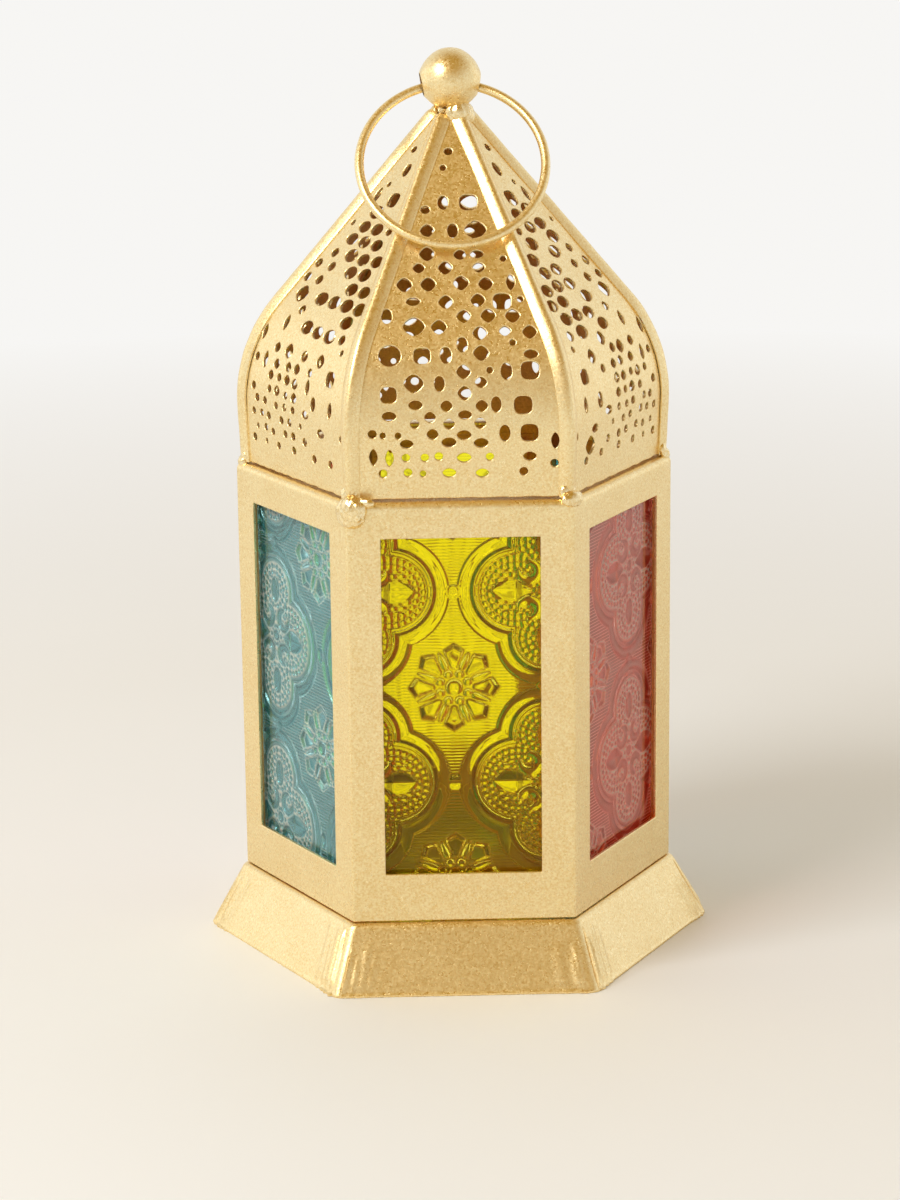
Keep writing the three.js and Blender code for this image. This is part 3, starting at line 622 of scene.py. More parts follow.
def pressed_foot():
    """The foot as one closed skin."""
    profile = foot_profile()
    corner, v = plan_columns(12, 56)
    size, height, fillet, share = (column[:, None] for column in profile.T)
    plan, normal, distance = hexagon(size, fillet, corner[None, :], v[None, :] + 0 * size)
    raised = foot_creases(distance, share + 0 * distance, corner[None, :], 11) * (share > 0)
    flat = np.concatenate([plan, height[..., None] + 0 * plan[..., :1]], axis=-1)
    slack = 0.07 * ripples(flat, 24.0, 12) * (share > 0) * (height > 1.0)
    plan = plan + normal * (raised + slack)[..., None]
    return skin(np.concatenate([plan, height[..., None] + 0 * plan[..., :1]], axis=-1))


foot = add_piece("foot", "lantern", gold, pressed_foot(), ("pressed_base",))
foot.data.materials.append(inside_paint_browned_and_shaded)
centres = np.empty(3 * len(foot.data.polygons), np.float32)
foot.data.polygons.foreach_get("center", centres)
centres = centres.reshape(-1, 3) / MM
out_far = np.hypot(centres[:, 0], centres[:, 1])
# Inside the body the floor takes the darker inside paint: painted shade, for the foot is one painted sheet.
inside_floor = (out_far < FLOOR_REACH) & (centres[:, 2] > 1)
foot.data.polygons.foreach_set("material_index", inside_floor.astype(np.int32))
print("foot", len(foot.data.polygons), "faces")

# %% [markdown]
# ## The body's two folded sheets
# Each half of the body is one sheet with three windows cut in it, folded at two upright corners,
# and with its top edge folded in as a ledge for the dome. A box with holes would have knife
# edges. So the sheet is a grid of cells along the plan and up the height, with the cells of the
# windows left out. The upright folds have a radius of under a millimetre, the top fold of about
# one and a half, and a live bevel softens the cut edges, which catch a thin line of light.

# %% Body sheets
BODY_LOW = 15.3
BODY_TOP = 111.8
FOLD_R = 0.9
TOP_FOLD_R = 1.5
LEDGE = 5.0
WINDOW_LOW, WINDOW_HIGH = 26.3, 103.7
DOORWAY_LOW, DOORWAY_HIGH = 19.0, 107.8
WINDOW_HALF = 17.5
DOORWAY_HALF = 20.5
SEAM = 0.17


def stops(marks, pitch):
    """Places from the first mark to the last, with every mark kept and no step over pitch."""
    parts = []
    for low, high in zip(marks[:-1], marks[1:]):
        steps = max(1, math.ceil((high - low) / pitch - 1e-6))
        parts.append(np.linspace(low, high, steps + 1)[:-1])
    return np.concatenate(parts + [np.array(marks[-1:])])


def folded_sheet(first_corner, openings, seed):
    """Three faces of the body from a corner on: cells of (x along the plan, height).

    x / 50 rounds to the corner k, and d = x - 50 k is the distance from it, which the arc of the
    fold or the straight side takes. Above the wall the profile turns through 90 degrees with the
    radius of the top fold and runs in along the ledge, where d shrinks with the plan's size.
    """
    start = FOLD_R * TAN30
    marks = [SEAM]
    for face in range(3):
        low, high = (50 * face + 25 - openings[face][0], 50 * face + 25 + openings[face][0])
        marks += [50 * face + start, low, high, 50 * face + 50 - start]
        if face < 2:
            marks += [50 * face + 50 + share * start for share in np.arange(-0.75, 0.76, 0.25)]
    marks = sorted(marks + [150 - SEAM, 0.35, 149.65])
    x = stops(marks, 1.4)
    sills = {level for opening in openings for level in opening[1:3]}
    levels = sorted({BODY_LOW, BODY_TOP - TOP_FOLD_R} | sills)
    wall = stops(levels, 1.6)
    arc = np.linspace(0, math.pi / 2, 8)[1:]
    height = np.concatenate([wall, BODY_TOP - TOP_FOLD_R * (1 - np.sin(arc)), np.full(3, BODY_TOP)])
    inward = np.concatenate([0 * wall, TOP_FOLD_R * (1 - np.cos(arc)), [2.5, 3.8, LEDGE]])
    size = (BODY_CORNER - inward / COS30)[:, None]
    corner = np.round(x / 50)
    distance = (x - 50 * corner)[None, :]
    share = (np.abs(distance) - start) / (25 - start) * (1 - ARC_SHARE) + ARC_SHARE
    v = np.where(np.abs(distance) > start, np.sign(distance) * share, distance / start * ARC_SHARE)
    fillet = np.full_like(size, FOLD_R)
    plan, normal, _ = hexagon(size, fillet, (corner + first_corner)[None, :], v + 0 * size)
    tilt = np.concatenate([0 * wall, arc, np.full(3, math.pi / 2)])[:, None, None]
    points = np.concatenate([plan, height[:, None, None] + 0 * plan[..., :1]], axis=-1)
    normals = np.concatenate([normal * np.cos(tilt), np.sin(tilt) + 0 * plan[..., :1]], axis=-1)
    points = points - normals * (0.05 + 0.05 * ripples(points, 38.0, seed))[..., None]
    rows, columns = len(height), len(x)
    index = np.arange(rows * columns).reshape(rows, columns)
    cells = np.stack([index[:-1, :-1], index[:-1, 1:], index[1:, 1:], index[1:, :-1]], axis=-1)
    middle_x = (x[:-1] + x[1:])[None, :] / 2
    middle_z = (height[:-1] + height[1:])[:, None] / 2
    keep = np.ones((rows - 1, columns - 1), bool)
    for face, (half, low, high) in enumerate(openings):
        inside = (np.abs(middle_x - 50 * face - 25) < half) & (middle_z > low) & (middle_z < high)
        keep &= ~inside
    shape = used_only(points.reshape(-1, 3), normals.reshape(-1, 3), cells[keep])
    return thicken(*shape, SHEET)


WINDOW = (WINDOW_HALF, WINDOW_LOW, WINDOW_HIGH)
DOORWAY = (DOORWAY_HALF, DOORWAY_LOW, DOORWAY_HIGH)
for side, first, openings in (("front", 3, [WINDOW] * 3), ("back", 0, [WINDOW, DOORWAY, WINDOW])):
    shape = folded_sheet(first, openings, 20 + first)
    stands_for = ("body_shell_" + side,)
    half = add_piece("body_sheet_" + side, "lantern", gold, shape, stands_for)
    # The inner faces take the darker inside paint: partly browned by the candle, partly painted shade.
    line_inside(half, inside_paint_browned_and_shaded)
    bend_edges(half, 0.16)
    print(half.name, len(half.data.polygons), "faces")

# %% [markdown]
# ## The dome's line
# The dome's corner stands up from its foot, turns in round a shoulder and then runs straight to
# the tip. Down the middle of a leaf the same line lies closer to the axis, by cos 30 degrees.
# It is worked out once as many short steps, and any place on it is then read by its length.

# %% Dome line
DOME_FOOT = 112.1
DOME_FOOT_CORNER = 47.8
DOME_WIDEST = 48.4
DOME_TURN = 126.1
DOME_SHOULDER_R = 35.8
DOME_SLOPE = math.radians(40.4)
DOME_TIP_CORNER = 4.3


def dome_corner_line(steps=48):
    """(corner size, height) rows: a stand of 14 mm, an arc of radius 35.8 and a straight."""
    stand = np.linspace((DOME_FOOT_CORNER, DOME_FOOT), (DOME_WIDEST, DOME_TURN), 9)
    turn = np.linspace(0, DOME_SLOPE, steps)[1:]
    arc = np.stack(
        [
            DOME_WIDEST - DOME_SHOULDER_R * (1 - np.cos(turn)),
            DOME_TURN + DOME_SHOULDER_R * np.sin(turn),
        ],
        axis=-1,
    )
    size = np.linspace(arc[-1, 0], DOME_TIP_CORNER, 32)[1:]
    straight = np.stack([size, arc[-1, 1] + (arc[-1, 0] - size) / math.tan(DOME_SLOPE)], axis=-1)
    return np.vstack([stand, arc, straight])


def line_normals(line):
    """Unit normals (out, up) of a line, from its steps: (dz, -dr) / length."""
    run = np.gradient(line, axis=0)
    run /= np.linalg.norm(run, axis=1)[:, None]
    return np.stack([run[:, 1], -run[:, 0]], axis=-1)


CORNER_LINE = dome_corner_line()
LEAF_LINE = CORNER_LINE * [COS30, 1.0]
LEAF_LENGTH = np.concatenate([[0], np.cumsum(np.linalg.norm(np.diff(LEAF_LINE, axis=0), axis=1))])
LEAF_NORMALS = line_normals(LEAF_LINE)
DOME_TIP = CORNER_LINE[-1, 1]
print("leaf length", round(LEAF_LENGTH[-1], 2), "tip at", round(DOME_TIP, 2))

# %% [markdown]
# ## The punched leaves
# Each leaf of the dome is punched with a loose pattern: small holes in rows near the foot,
# larger diamonds, squares and rounds above, and a few single ones at the sides. A regular grid
# of holes would look like bought mesh. So the pattern is drawn here as a punch chart:
# one row of text for each row of the punch, one sign for each hole, and a dot for none. The two
# leaves beside the front one have a chart of their own, with a close net of broad rounded holes.

# %% Punch chart
CHART_MIDDLE = 1.2
CHART_PITCH = 1.8
PUNCHES = {  # width, height and roundness of each punch: 1.3 is a diamond, 2 round, 3.2 square
    "D": (3.2, 3.3, 1.5),
    "R": (4.6, 3.2, 1.9),
    "d": (2.6, 2.4, 1.6),
    "B": (4.5, 4.2, 1.5),
    "S": (3.8, 3.7, 3.0),
    "C": (4.8, 4.7, 2.0),
    "O": (2.3, 3.5, 2.0),
    "L": (1.9, 3.8, 1.6),
    "w": (3.1, 2.0, 1.8),
    "o": (1.9, 1.8, 2.0),
    "t": (1.3, 1.4, 2.0),
}
CHART = [  # height up the leaf in mm, then the row
    (81.5, "...........o............."),
    (77.5, "..........t.............."),
    (75.4, "...........O............."),
    (68.4, "..........O..S..........."),
    (66.8, "........o................"),
    (62.0, "........D..O..B.........."),
    (56.0, "........D...d.w.........."),
    (54.6, ".................t......."),
    (52.4, ".......d..D...d.........."),
    (48.8, ".....D..D...D..D..L......"),
    (46.1, ".......t................."),
    (44.6, "......w...D...D..S.t....."),
    (41.0, "...O........D..D..D......"),
    (38.5, "......B..D..............."),
    (37.0, "..............D..d..D...."),
    (34.4, "............O..D..t......"),
    (32.0, "...C...S..O...D.....w...."),
    (28.3, "............D..t.O..S...."),
    (25.5, "......B..O....d.........."),
    (23.3, "...S........D............"),
    (20.9, "......w...d...d.O..S...L."),
    (18.5, "...w....d...w............"),
    (16.8, "......o...d...d.........."),
    (14.5, ".ot.t...d...w....O..S...."),
    (12.6, "..o..w....w...w........L."),
    (9.4, ".L.L.o.o.o..w..o....w...."),
    (7.5, ".......................o."),
    (6.0, "..o..o.t..w...w....o....."),
]
SIDE_CHART = [  # the two leaves beside the front one: the last column lies by the front leaf
    (81.5, "...........o............."),
    (76.0, "............O............"),
    (72.0, "..........t.............."),
    (68.6, ".........L...S..........."),
    (64.9, "...........R..R.........."),
    (61.1, ".......t..R..R..d........"),
    (57.3, ".........R..R..R........."),
    (53.5, ".......d...R..R..R......."),
    (49.7, ".....d..d.R..R..R..d....."),
    (45.9, "....d..d.R..R..R..R......"),
    (42.1, ".....B....R..R..R..R....."),
    (38.3, "..C....d.R..R..R..R......"),
    (34.5, "...S.L....R..R..R..d....."),
    (31.4, ".L...O...D..D..d....t...."),
    (28.6, "..L..d..D.d.d...D........"),
    (25.2, ".o.L..d..d.d..o....S....."),
    (22.0, "...o.d.o.d.d..L...D......"),
    (18.8, ".o...o.d.o.d....O...L...."),
    (15.8, "..o.o..o.o.o..w....S....."),
    (12.8, ".o.o.o..o.o..t....w....o."),
    (9.6, "..t.o.o..o.o..o....B....."),
    (6.6, ".o..t..o...o....o...o...."),
]
CHARTS = {"left_front": SIDE_CHART, "right_front": SIDE_CHART}


def apart(one, other):
    """About how much sheet is left between two holes, along the line between their middles."""
    across, up = one[0] - other[0], one[1] - other[1]
    far = math.hypot(across, up)
    reach = sum(math.hypot(hole[2] * across, hole[3] * up) / far for hole in (one, other))
    return far - reach


def punched_holes(chart, flip, seed):
    """Rows of (u, s, half width, half height, roundness), a little off their places."""
    draw = np.random.default_rng(seed)
    holes = []
    for height, row in chart:
        for column, sign in enumerate(row):
            if sign == ".":
                continue
            wide, high, round_ = PUNCHES[sign]
            u = CHART_MIDDLE + CHART_PITCH * (column - 12) + draw.uniform(-0.3, 0.3)
            s = height + draw.uniform(-0.3, 0.3)
            grow = draw.uniform(0.93, 1.07)
            hole = (flip * u, s, wide / 2 * grow, high / 2 * grow, round_)
            if all(apart(hole, other) > 0.5 for other in holes):
                holes.append(hole)
    return np.array(holes)


print("holes in a leaf", len(punched_holes(CHART, 1, 0)))

# %% [markdown]
# The leaf is cut flat first and bent afterwards, as at the bench. Its outline and the holes go
# to a triangle maker that keeps their edges, with a ring of points round each hole for the
# burr that the punch leaves. Then every flat point (u, s) is laid on the dome: s walks up the
# leaf's line and u goes across. Each contour is |x/a|^n + |y/b|^n = 1.

# %% Punched leaves
EDGE_GAP = 0.8
HOLE_SIDES = 18
LEAF_STEP = 1.5
BURR = 0.04


def contour(hole, grow):
    """Points round one hole: a |cos t|^(2/n), b |sin t|^(2/n), widened by grow."""
    u, s, a, b, power = hole
    t = np.linspace(0, 2 * np.pi, HOLE_SIDES, endpoint=False)
    x = np.sign(np.cos(t)) * np.abs(np.cos(t)) ** (2 / power) * (a + grow)
    y = np.sign(np.sin(t)) * np.abs(np.sin(t)) ** (2 / power) * (b + grow)
    return np.stack([u + x, s + y], axis=-1)


def hole_field(points, holes):
    """How deep each point is in its nearest hole: 1 at a middle, 0 on a contour, then below."""
    field = np.full(len(points), -9.0)
    for u, s, a, b, power in holes:
        across = np.abs((points[:, 0] - u) / a) ** power
        inside = 1 - (across + np.abs((points[:, 1] - s) / b) ** power)
        field = np.maximum(field, inside)
    return field


def leaf_half_width(s):
    """Half the leaf's width at s: half the corner size, less the gap under the rib."""
    return np.interp(s, LEAF_LENGTH, CORNER_LINE[:, 0]) / 2 - EDGE_GAP


def flat_leaf(chart, flip, seed):
    """The flat leaf as (points, triangles) with its holes open."""
    top = LEAF_LENGTH[-1]
    s = np.linspace(0.05, top, 70)
    right = np.stack([leaf_half_width(s), s], axis=-1)
    foot_u = np.linspace(-leaf_half_width(0), leaf_half_width(0), 60)[1:-1]
    foot_s = 0.1 + 0.16 * ripples(foot_u[:, None], 5.0, seed + 3)
    foot_line = np.stack([foot_u, foot_s], axis=-1)
    outline = np.vstack([foot_line, right, right[::-1] * [-1, 1]])
    holes = punched_holes(chart, flip, seed)
    clear = np.abs(holes[:, 0]) + holes[:, 2] < leaf_half_width(holes[:, 1]) - 1.2
    holes = holes[clear]
    loops = [contour(hole, 0.0) for hole in holes]
    burrs = np.vstack([contour(hole, 0.32) for hole in holes])
    inner_u = np.arange(-24, 24.1, LEAF_STEP)
    inner_s = np.arange(1.2, top, LEAF_STEP)
    grid = np.stack(np.meshgrid(inner_u, inner_s), axis=-1).reshape(-1, 2)
    free = np.vstack([burrs, grid])
    free = free[np.abs(free[:, 0]) < leaf_half_width(free[:, 1]) - 0.5]
    wider = holes + [0, 0, 0.25, 0.25, 0]
    free = free[hole_field(free, wider) < 0]
    points = np.vstack([outline, *loops, free])
    edges = [(i, (i + 1) % len(outline)) for i in range(len(outline))]
    for number in range(len(loops)):
        base = len(outline) + number * HOLE_SIDES
        edges += [(base + i, base + (i + 1) % HOLE_SIDES) for i in range(HOLE_SIDES)]
    whole = [list(range(len(outline)))]
    made = delaunay_2d_cdt([Vector(point) for point in points], edges, whole, 1, 1e-5)
    flat = np.array([tuple(point) for point in made[0]])
    faces = np.array(made[2])
    solid = hole_field(flat[faces].mean(axis=1), holes) < 0
    return flat, faces[solid], holes


def bent_leaf(chart, flip, seed, turn):
    """Lay the flat leaf on the dome: (u, s) -> (out(s), u, z(s)) turned to its face."""
    flat, faces, holes = flat_leaf(chart, flip, seed)
    s = flat[:, 1]
    out, up = (np.interp(s, LEAF_LENGTH, LEAF_LINE[:, axis]) for axis in (0, 1))
    n_out, n_up = (np.interp(s, LEAF_LENGTH, LEAF_NORMALS[:, axis]) for axis in (0, 1))
    points = np.stack([out, flat[:, 0], up], axis=-1)
    normals = np.stack([n_out, 0 * s, n_up], axis=-1)
    edge = hole_field(flat, holes)
    raised = BURR * smooth(-0.35, 0.0, edge) - 0.06 - 0.06 * ripples(points, 16.0, seed + 5)
    points = points + normals * raised[:, None]
    shape = used_only(points, normals, faces)
    cos, sin = math.cos(turn), math.sin(turn)
    spin = np.array([[cos, -sin, 0], [sin, cos, 0], [0, 0, 1]])
    return thicken(shape[0] @ spin.T, shape[1] @ spin.T, shape[2], SHEET)


FACES = ["right_back", "back", "left_back", "left_front", "front", "right_front"]
FLIPS = [1, -1, 1, 1, 1, -1]
for index, face in enumerate(FACES):
    turn = (index + 0.5) * math.pi / 3
    shape = bent_leaf(CHARTS.get(face, CHART), FLIPS[index], 40 + index, turn)
    stands_for = ("dome_panel_" + face,)
    leaf = add_piece("leaf_" + face, "lantern", gold, shape, stands_for, 32.0)
    # The inner faces take the darker inside paint: partly browned by the candle, partly painted shade.
    line_inside(leaf, inside_paint_browned_and_shaded)
    bend_edges(leaf, 0.2)
    print(leaf.name, len(leaf.data.polygons), "faces")

# %% [markdown]
# ## The ribs
# A bent strip is soldered over each joint between two leaves. Its back is rounded and its edges
# lie down on the leaves. It is one section carried up the dome's corner line, widest over the
# shoulder and a little uneven because it is bent by hand. Its top end is rounded like a thumb
# and reaches a little past the dome's tip, less far at the front left than elsewhere.

# %% Ribs
RIB_HALF = 2.4
RIB_SEAT = 0.12
RIB_THICK = 0.88
RIB_END = 2.5
RIB_ROUND = 1.85
RIB_POWER = 1.8
RIB_LEAST = 0.84  # share of the width that every place has
RIB_SWELL = 0.16  # share that the shoulder adds
RIB_UNEVEN = 0.05
RIB_REACH = {"front_left": 0.5}
RIB_REACH_OTHERS = 1.0
CORNERS = ["right", "back_right", "back_left", "left", "front_left", "front_right"]


def turned(points, angle):
    """Points turned about the upright axis."""
    x, y, z = np.moveaxis(points, -1, 0)
    cos, sin = math.cos(angle), math.sin(angle)
    return np.stack([x * cos - y * sin, x * sin + y * cos, z], axis=-1)


def rib(seed, reach):
    """A section (a across, h out) carried up the corner line.

    Over the back h = seat + thick - round |a / half|^power, and underneath h = seat - tan30 |a|.
    Both shrink over the last stretch by sqrt(1 - t^2), which rounds the end like a thumb.
    """
    beyond = CORNER_LINE[-1] + [-reach, reach / math.tan(DOME_SLOPE)]
    whole = np.vstack([CORNER_LINE, beyond])
    length = np.concatenate([[0], np.cumsum(np.linalg.norm(np.diff(whole, axis=0), axis=1))])
    end = length[-1]
    fine = end - RIB_END * np.cos(np.linspace(0, math.pi / 2, 10))
    up_along = np.concatenate([length[length < end - RIB_END - 0.3], fine])
    line = np.stack([np.interp(up_along, length, whole[:, axis]) for axis in (0, 1)], axis=-1)
    t = np.clip((up_along - end + RIB_END) / RIB_END, 0, 0.995)
    rounding = np.sqrt(1 - t**2)[:, None]
    normals = line_normals(line)
    across = np.cos(np.linspace(np.pi, 0, 21))
    back_h = RIB_SEAT + RIB_THICK - RIB_ROUND * np.abs(across) ** RIB_POWER
    back = np.stack([across, back_h], axis=-1)
    under_a = across[::-1][2:-2:3]
    under = np.stack([under_a, RIB_SEAT - TAN30 * RIB_HALF * np.abs(under_a)], axis=-1)
    section = np.vstack([back, under])
    uneven = ripples(line, 17.0, seed)
    shoulder = smooth(0, 22.0, up_along) - 0.5 * smooth(40.0, 70.0, up_along)
    width = RIB_HALF * (RIB_LEAST + RIB_SWELL * shoulder + RIB_UNEVEN * uneven)
    across_mm = section[None, :, 0] * width[:, None] * rounding
    dent = 0.06 * ripples(line[:, ::-1], 7.0, seed + 1)
    out_mm = section[None, :, 1] + (dent[:, None] - 0.05) * (section[None, :, 1] > -0.3)
    out_mm = (out_mm + 0.9) * rounding - 0.9
    out = line[:, :1] + out_mm * normals[:, :1]
    up = line[:, 1:] + out_mm * np.where(np.arange(len(line))[:, None] > 0, normals[:, 1:], 0)
    return np.stack([out, across_mm, up], axis=-1)


for index, corner_name in enumerate(CORNERS):
    reach = RIB_REACH.get(corner_name, RIB_REACH_OTHERS)
    shape = skin(turned(rib(60 + 3 * index, reach), index * math.pi / 3))
    stands_for = ("dome_rib_" + corner_name,)
    add_piece("rib_" + corner_name, "lantern", gold, shape, stands_for)
print("ribs", len(CORNERS))

# %% [markdown]
# ## Solder
# The ribs' feet are held to the body's top corners by lumps of solder, painted over. A lump is
# a ball pulled out of shape: its radius in each direction is that of an ellipsoid times one
# plus a few slow waves. The one at the front left is the largest and has run over the corner.


# %% Solder lumps
def lump(centre, axes, seed, rough=0.13, grit=0.05, rows=26, columns=44):
    """r(direction) = (1 + rough x slow waves + grit x short waves) x (a cos t cos p,
    b cos t sin p, c sin t) + centre."""
    t = np.linspace(-math.pi / 2, math.pi / 2, rows + 2)[1:-1, None]
    p = np.linspace(0, 2 * math.pi, columns, endpoint=False)[None, :]
    unit = np.stack([np.cos(t) * np.cos(p), np.cos(t) * np.sin(p), np.sin(t) + 0 * p], axis=-1)
    swell = 1 + rough * ripples(unit, 1.7, seed, 7) + grit * ripples(unit, 0.5, seed + 1, 9)
    return skin(unit * np.array(axes) * swell[..., None] + np.array(centre))


def turn_shape(shape, angle):
    """A whole shape turned about the upright axis."""
    return turned(shape[0], angle), shape[1]


SOLDER = {  # inset from the corner, shift along it, half sizes out, across and up, and rise
    "right": (1.9, 0.4, (1.5, 2.1, 1.5), 0.1),
    "back_right": (1.3, -0.5, (1.8, 2.8, 2.1), 0.2),
    "back_left": (1.3, 0.4, (1.7, 2.5, 1.9), 0.1),
    "left": (1.9, -0.4, (1.5, 2.2, 1.7), 0.1),
    "front_left": (1.0, 0.9, (2.5, 3.6, 3.5), -1.9),
    "front_right": (1.3, 0.2, (1.7, 2.7, 1.9), 0.1),
}
HEEL = (BODY_CORNER - 2.4, -0.3, BODY_TOP + 1.5), (1.2, 2.0, 1.9)  # under the rib's foot
SPILL = (BODY_CORNER - 2.0, 3.4, BODY_TOP + 0.2), (1.0, 2.6, 1.2)  # run along the joint
GRIT = {"front_left": 0.13}
GRIT_OTHERS = 0.07
for index, corner_name in enumerate(CORNERS):
    inset, shift, axes, rise = SOLDER[corner_name]
    middle = (BODY_CORNER - inset, shift, BODY_TOP + rise)
    grit = GRIT.get(corner_name, GRIT_OTHERS)
    shapes = [lump(middle, axes, 80 + index, 0.13, grit, 44, 72)]
    shapes.append(lump(*HEEL, 90 + index, 0.12, 0.08))
    if corner_name == "front_left":
        shapes.append(lump(*SPILL, 99, 0.1))
    shape = turn_shape(join(*shapes), index * math.pi / 3)
    stands_for = ("solder_" + corner_name,)
    name = "solder_lump_" + corner_name
    add_piece(name, "lantern", solder_paint, shape, stands_for, 60)
print("solder lumps", len(SOLDER))

# %% [markdown]
# ## Ball, neck and ring
# The ball is pressed from sheet, with a wide hole punched across it for the ring. The hole lies
# a little below the middle. In rings about the hole's own axis, the ball is the surface
# rho = q sin p + sqrt(q^2 sin^2 p + R^2 - x^2 - q^2), which closes into the tube of the hole.
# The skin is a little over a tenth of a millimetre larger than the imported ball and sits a
# quarter of a millimetre lower, and its top is drawn up very slightly.

# %% Ball
BALL_R = 6.75
BALL_Z = DOME_TIP + 0.9 + BALL_R
PIVOT_Z = BALL_Z - 1.4
RING_R = 20.6
WIRE_R = 1.05
HOLE_DROP = 1.4
HOLE_R = RING_R - math.sqrt(RING_R**2 - BALL_R**2) + WIRE_R + 0.5
BALL_TURN = math.radians(4.5)
BALL_SKIN_R = 7.0
BALL_SAG = 0.25


def holed_ball():
    """Rings about X: out along the ball, over a rounded lip and back through the hole."""
    p = np.linspace(0, 2 * math.pi, 72, endpoint=False)[None, :]
    q = HOLE_DROP - BALL_SAG
    end = np.sqrt(BALL_SKIN_R**2 - (HOLE_R * np.cos(p)) ** 2 - (HOLE_R * np.sin(p) - q) ** 2)
    t = np.linspace(-1, 1, 65)[:, None]
    x = end * np.sin(t * math.pi / 2)
    raised = q * np.sin(p)
    rho = raised + np.sqrt(np.maximum(raised**2 + BALL_SKIN_R**2 - x**2 - q**2, 0))
    lip = 0.16 * np.exp(-(((end - np.abs(x)) / 0.35) ** 2))
    x = x + np.sign(x) * lip
    tube_t = np.linspace(1, -1, 14)[1:-1, None]
    tube_x = end * tube_t
    tube_rho = HOLE_R + 0.12 - 0.12 * np.exp(-(((1 - np.abs(tube_t)) / 0.05) ** 2)) + 0 * tube_x
    x = np.vstack([x, tube_x])
    rho = np.vstack([rho, tube_rho])
    y = rho * np.cos(p)
    z = rho * np.sin(p) - q
    points = np.stack([x, y, z], axis=-1)
    radius = np.linalg.norm(points, axis=-1, keepdims=True)
    outer = np.arange(len(x))[:, None, None] < len(t)
    dents = 0.05 * ripples(points, 4.0, 131)[..., None] - 0.05
    peak = 0.12 * np.clip(z / BALL_R, 0, 1)[..., None] ** 10
    points = points + outer * (dents - 0.1 + peak) * points / np.maximum(radius, 1)
    return skin(turned(points, BALL_TURN) + [0, 0, BALL_Z - BALL_SAG], looped=True)


ball = add_piece("ball", "lantern", gold, holed_ball(), ("finial_ball",), 50)
print("ball", len(ball.data.polygons), "faces")

# %% [markdown]
# The ball sits in a collar of solder on the dome's tip. It is a turned profile, made uneven.
# Broad flat runs of solder lie over the ends of the ribs, heaviest at the front right. At the
# front left there is none, and the collar is drawn in, so that a gap stays open there.


# %% Neck
NECK = [  # radius and height over the dome's tip
    (2.4, -2.2),
    (3.2, -1.8),
    (3.5, -0.9),
    (3.3, 0.2),
    (3.0, 0.9),
    (2.9, 1.6),
    (3.2, 2.3),
    (2.6, 2.9),
]
RUNS = [  # direction in degrees, distance out, height over the tip, half sizes out, across and up
    (-82, 3.7, 0.1, (1.5, 1.9, 2.1)),
    (-57, 4.2, 0.0, (1.7, 2.6, 2.7)),
    (-28, 4.2, -0.4, (1.5, 2.4, 2.3)),
    (5, 3.8, 0.3, (1.4, 2.2, 1.6)),
    (48, 3.6, 0.4, (1.3, 2.3, 1.4)),
    (92, 3.7, 0.2, (1.4, 2.2, 1.6)),
    (135, 3.6, 0.3, (1.3, 2.2, 1.4)),
    (172, 3.4, 0.2, (1.1, 1.6, 1.3)),
]
GAP_TOWARDS = math.radians(232)
GAP_DEEP = 0.6
GAP_WIDE = 0.5


def solder_neck():
    """A turned profile (radius, height), with each radius swollen by slow waves, and its runs."""
    profile = np.array(NECK) + [0, DOME_TIP]
    t = np.linspace(0, 1, len(profile))
    fine = np.linspace(0, 1, 26)
    radius = np.interp(fine, t, profile[:, 0])[:, None]
    height = np.interp(fine, t, profile[:, 1])[:, None]
    p = np.linspace(0, 2 * math.pi, 60, endpoint=False)[None, :]
    rings = np.stack([radius * np.cos(p), radius * np.sin(p), height + 0 * p], axis=-1)
    swell = 1 + 0.12 * ripples(rings, 3.4, 141, 7)
    swell = swell * (1 - GAP_DEEP * np.exp(-(((p - GAP_TOWARDS) / GAP_WIDE) ** 2)))
    rings[..., :2] *= swell[..., None]
    runs = []
    for number, (angle, out, up, axes) in enumerate(RUNS):
        run = lump((out, 0, DOME_TIP + up), axes, 150 + number, 0.16, 0.12, 22, 34)
        runs.append(turn_shape(run, math.radians(angle)))
    return join(skin(rings), *runs)


add_piece("neck", "lantern", solder_paint, solder_neck(), ("finial_neck",), 60)

# %% [markdown]
# The ring is a piece of round wire, bent by hand round a bar, with its two ends brought
# together inside the ball. It leans forward until it lies on the front ribs.

# %% Ring
RING_LEAN = math.radians(39.267)


def wire_ring():
    """Torus: pivot + (R + r cos b) direction(a) + r sin b normal, with an uneven r."""
    a = np.linspace(0, 2 * math.pi, 220, endpoint=False)[:, None]
    b = np.linspace(0, 2 * math.pi, 20, endpoint=False)[None, :]
    side = np.array([1.0, 0.0, 0.0])
    down = np.array([0.0, -math.sin(RING_LEAN), -math.cos(RING_LEAN)])
    normal = np.cross(side, down)
    centre = np.array([0.0, 0.0, PIVOT_Z]) + RING_R * down
    around = np.stack([np.cos(a[:, 0]), np.sin(a[:, 0])], axis=-1)
    wire = WIRE_R * (0.975 + 0.02 * ripples(around * 20, 9.0, 151))[:, None]
    butt = 1 - 0.3 * np.exp(-(((a - 3 * math.pi / 2) / 0.012) ** 2))
    out = np.cos(a)[..., None] * side + np.sin(a)[..., None] * down
    reach = (RING_R + wire * butt * np.cos(b))[..., None]
    return skin(centre + reach * out + (wire * butt * np.sin(b))[..., None] * normal, looped=True)


add_piece("ring", "ring", gold, wire_ring(), ("hanging_ring",))
print("ring leans", round(math.degrees(RING_LEAN), 1), "degrees")

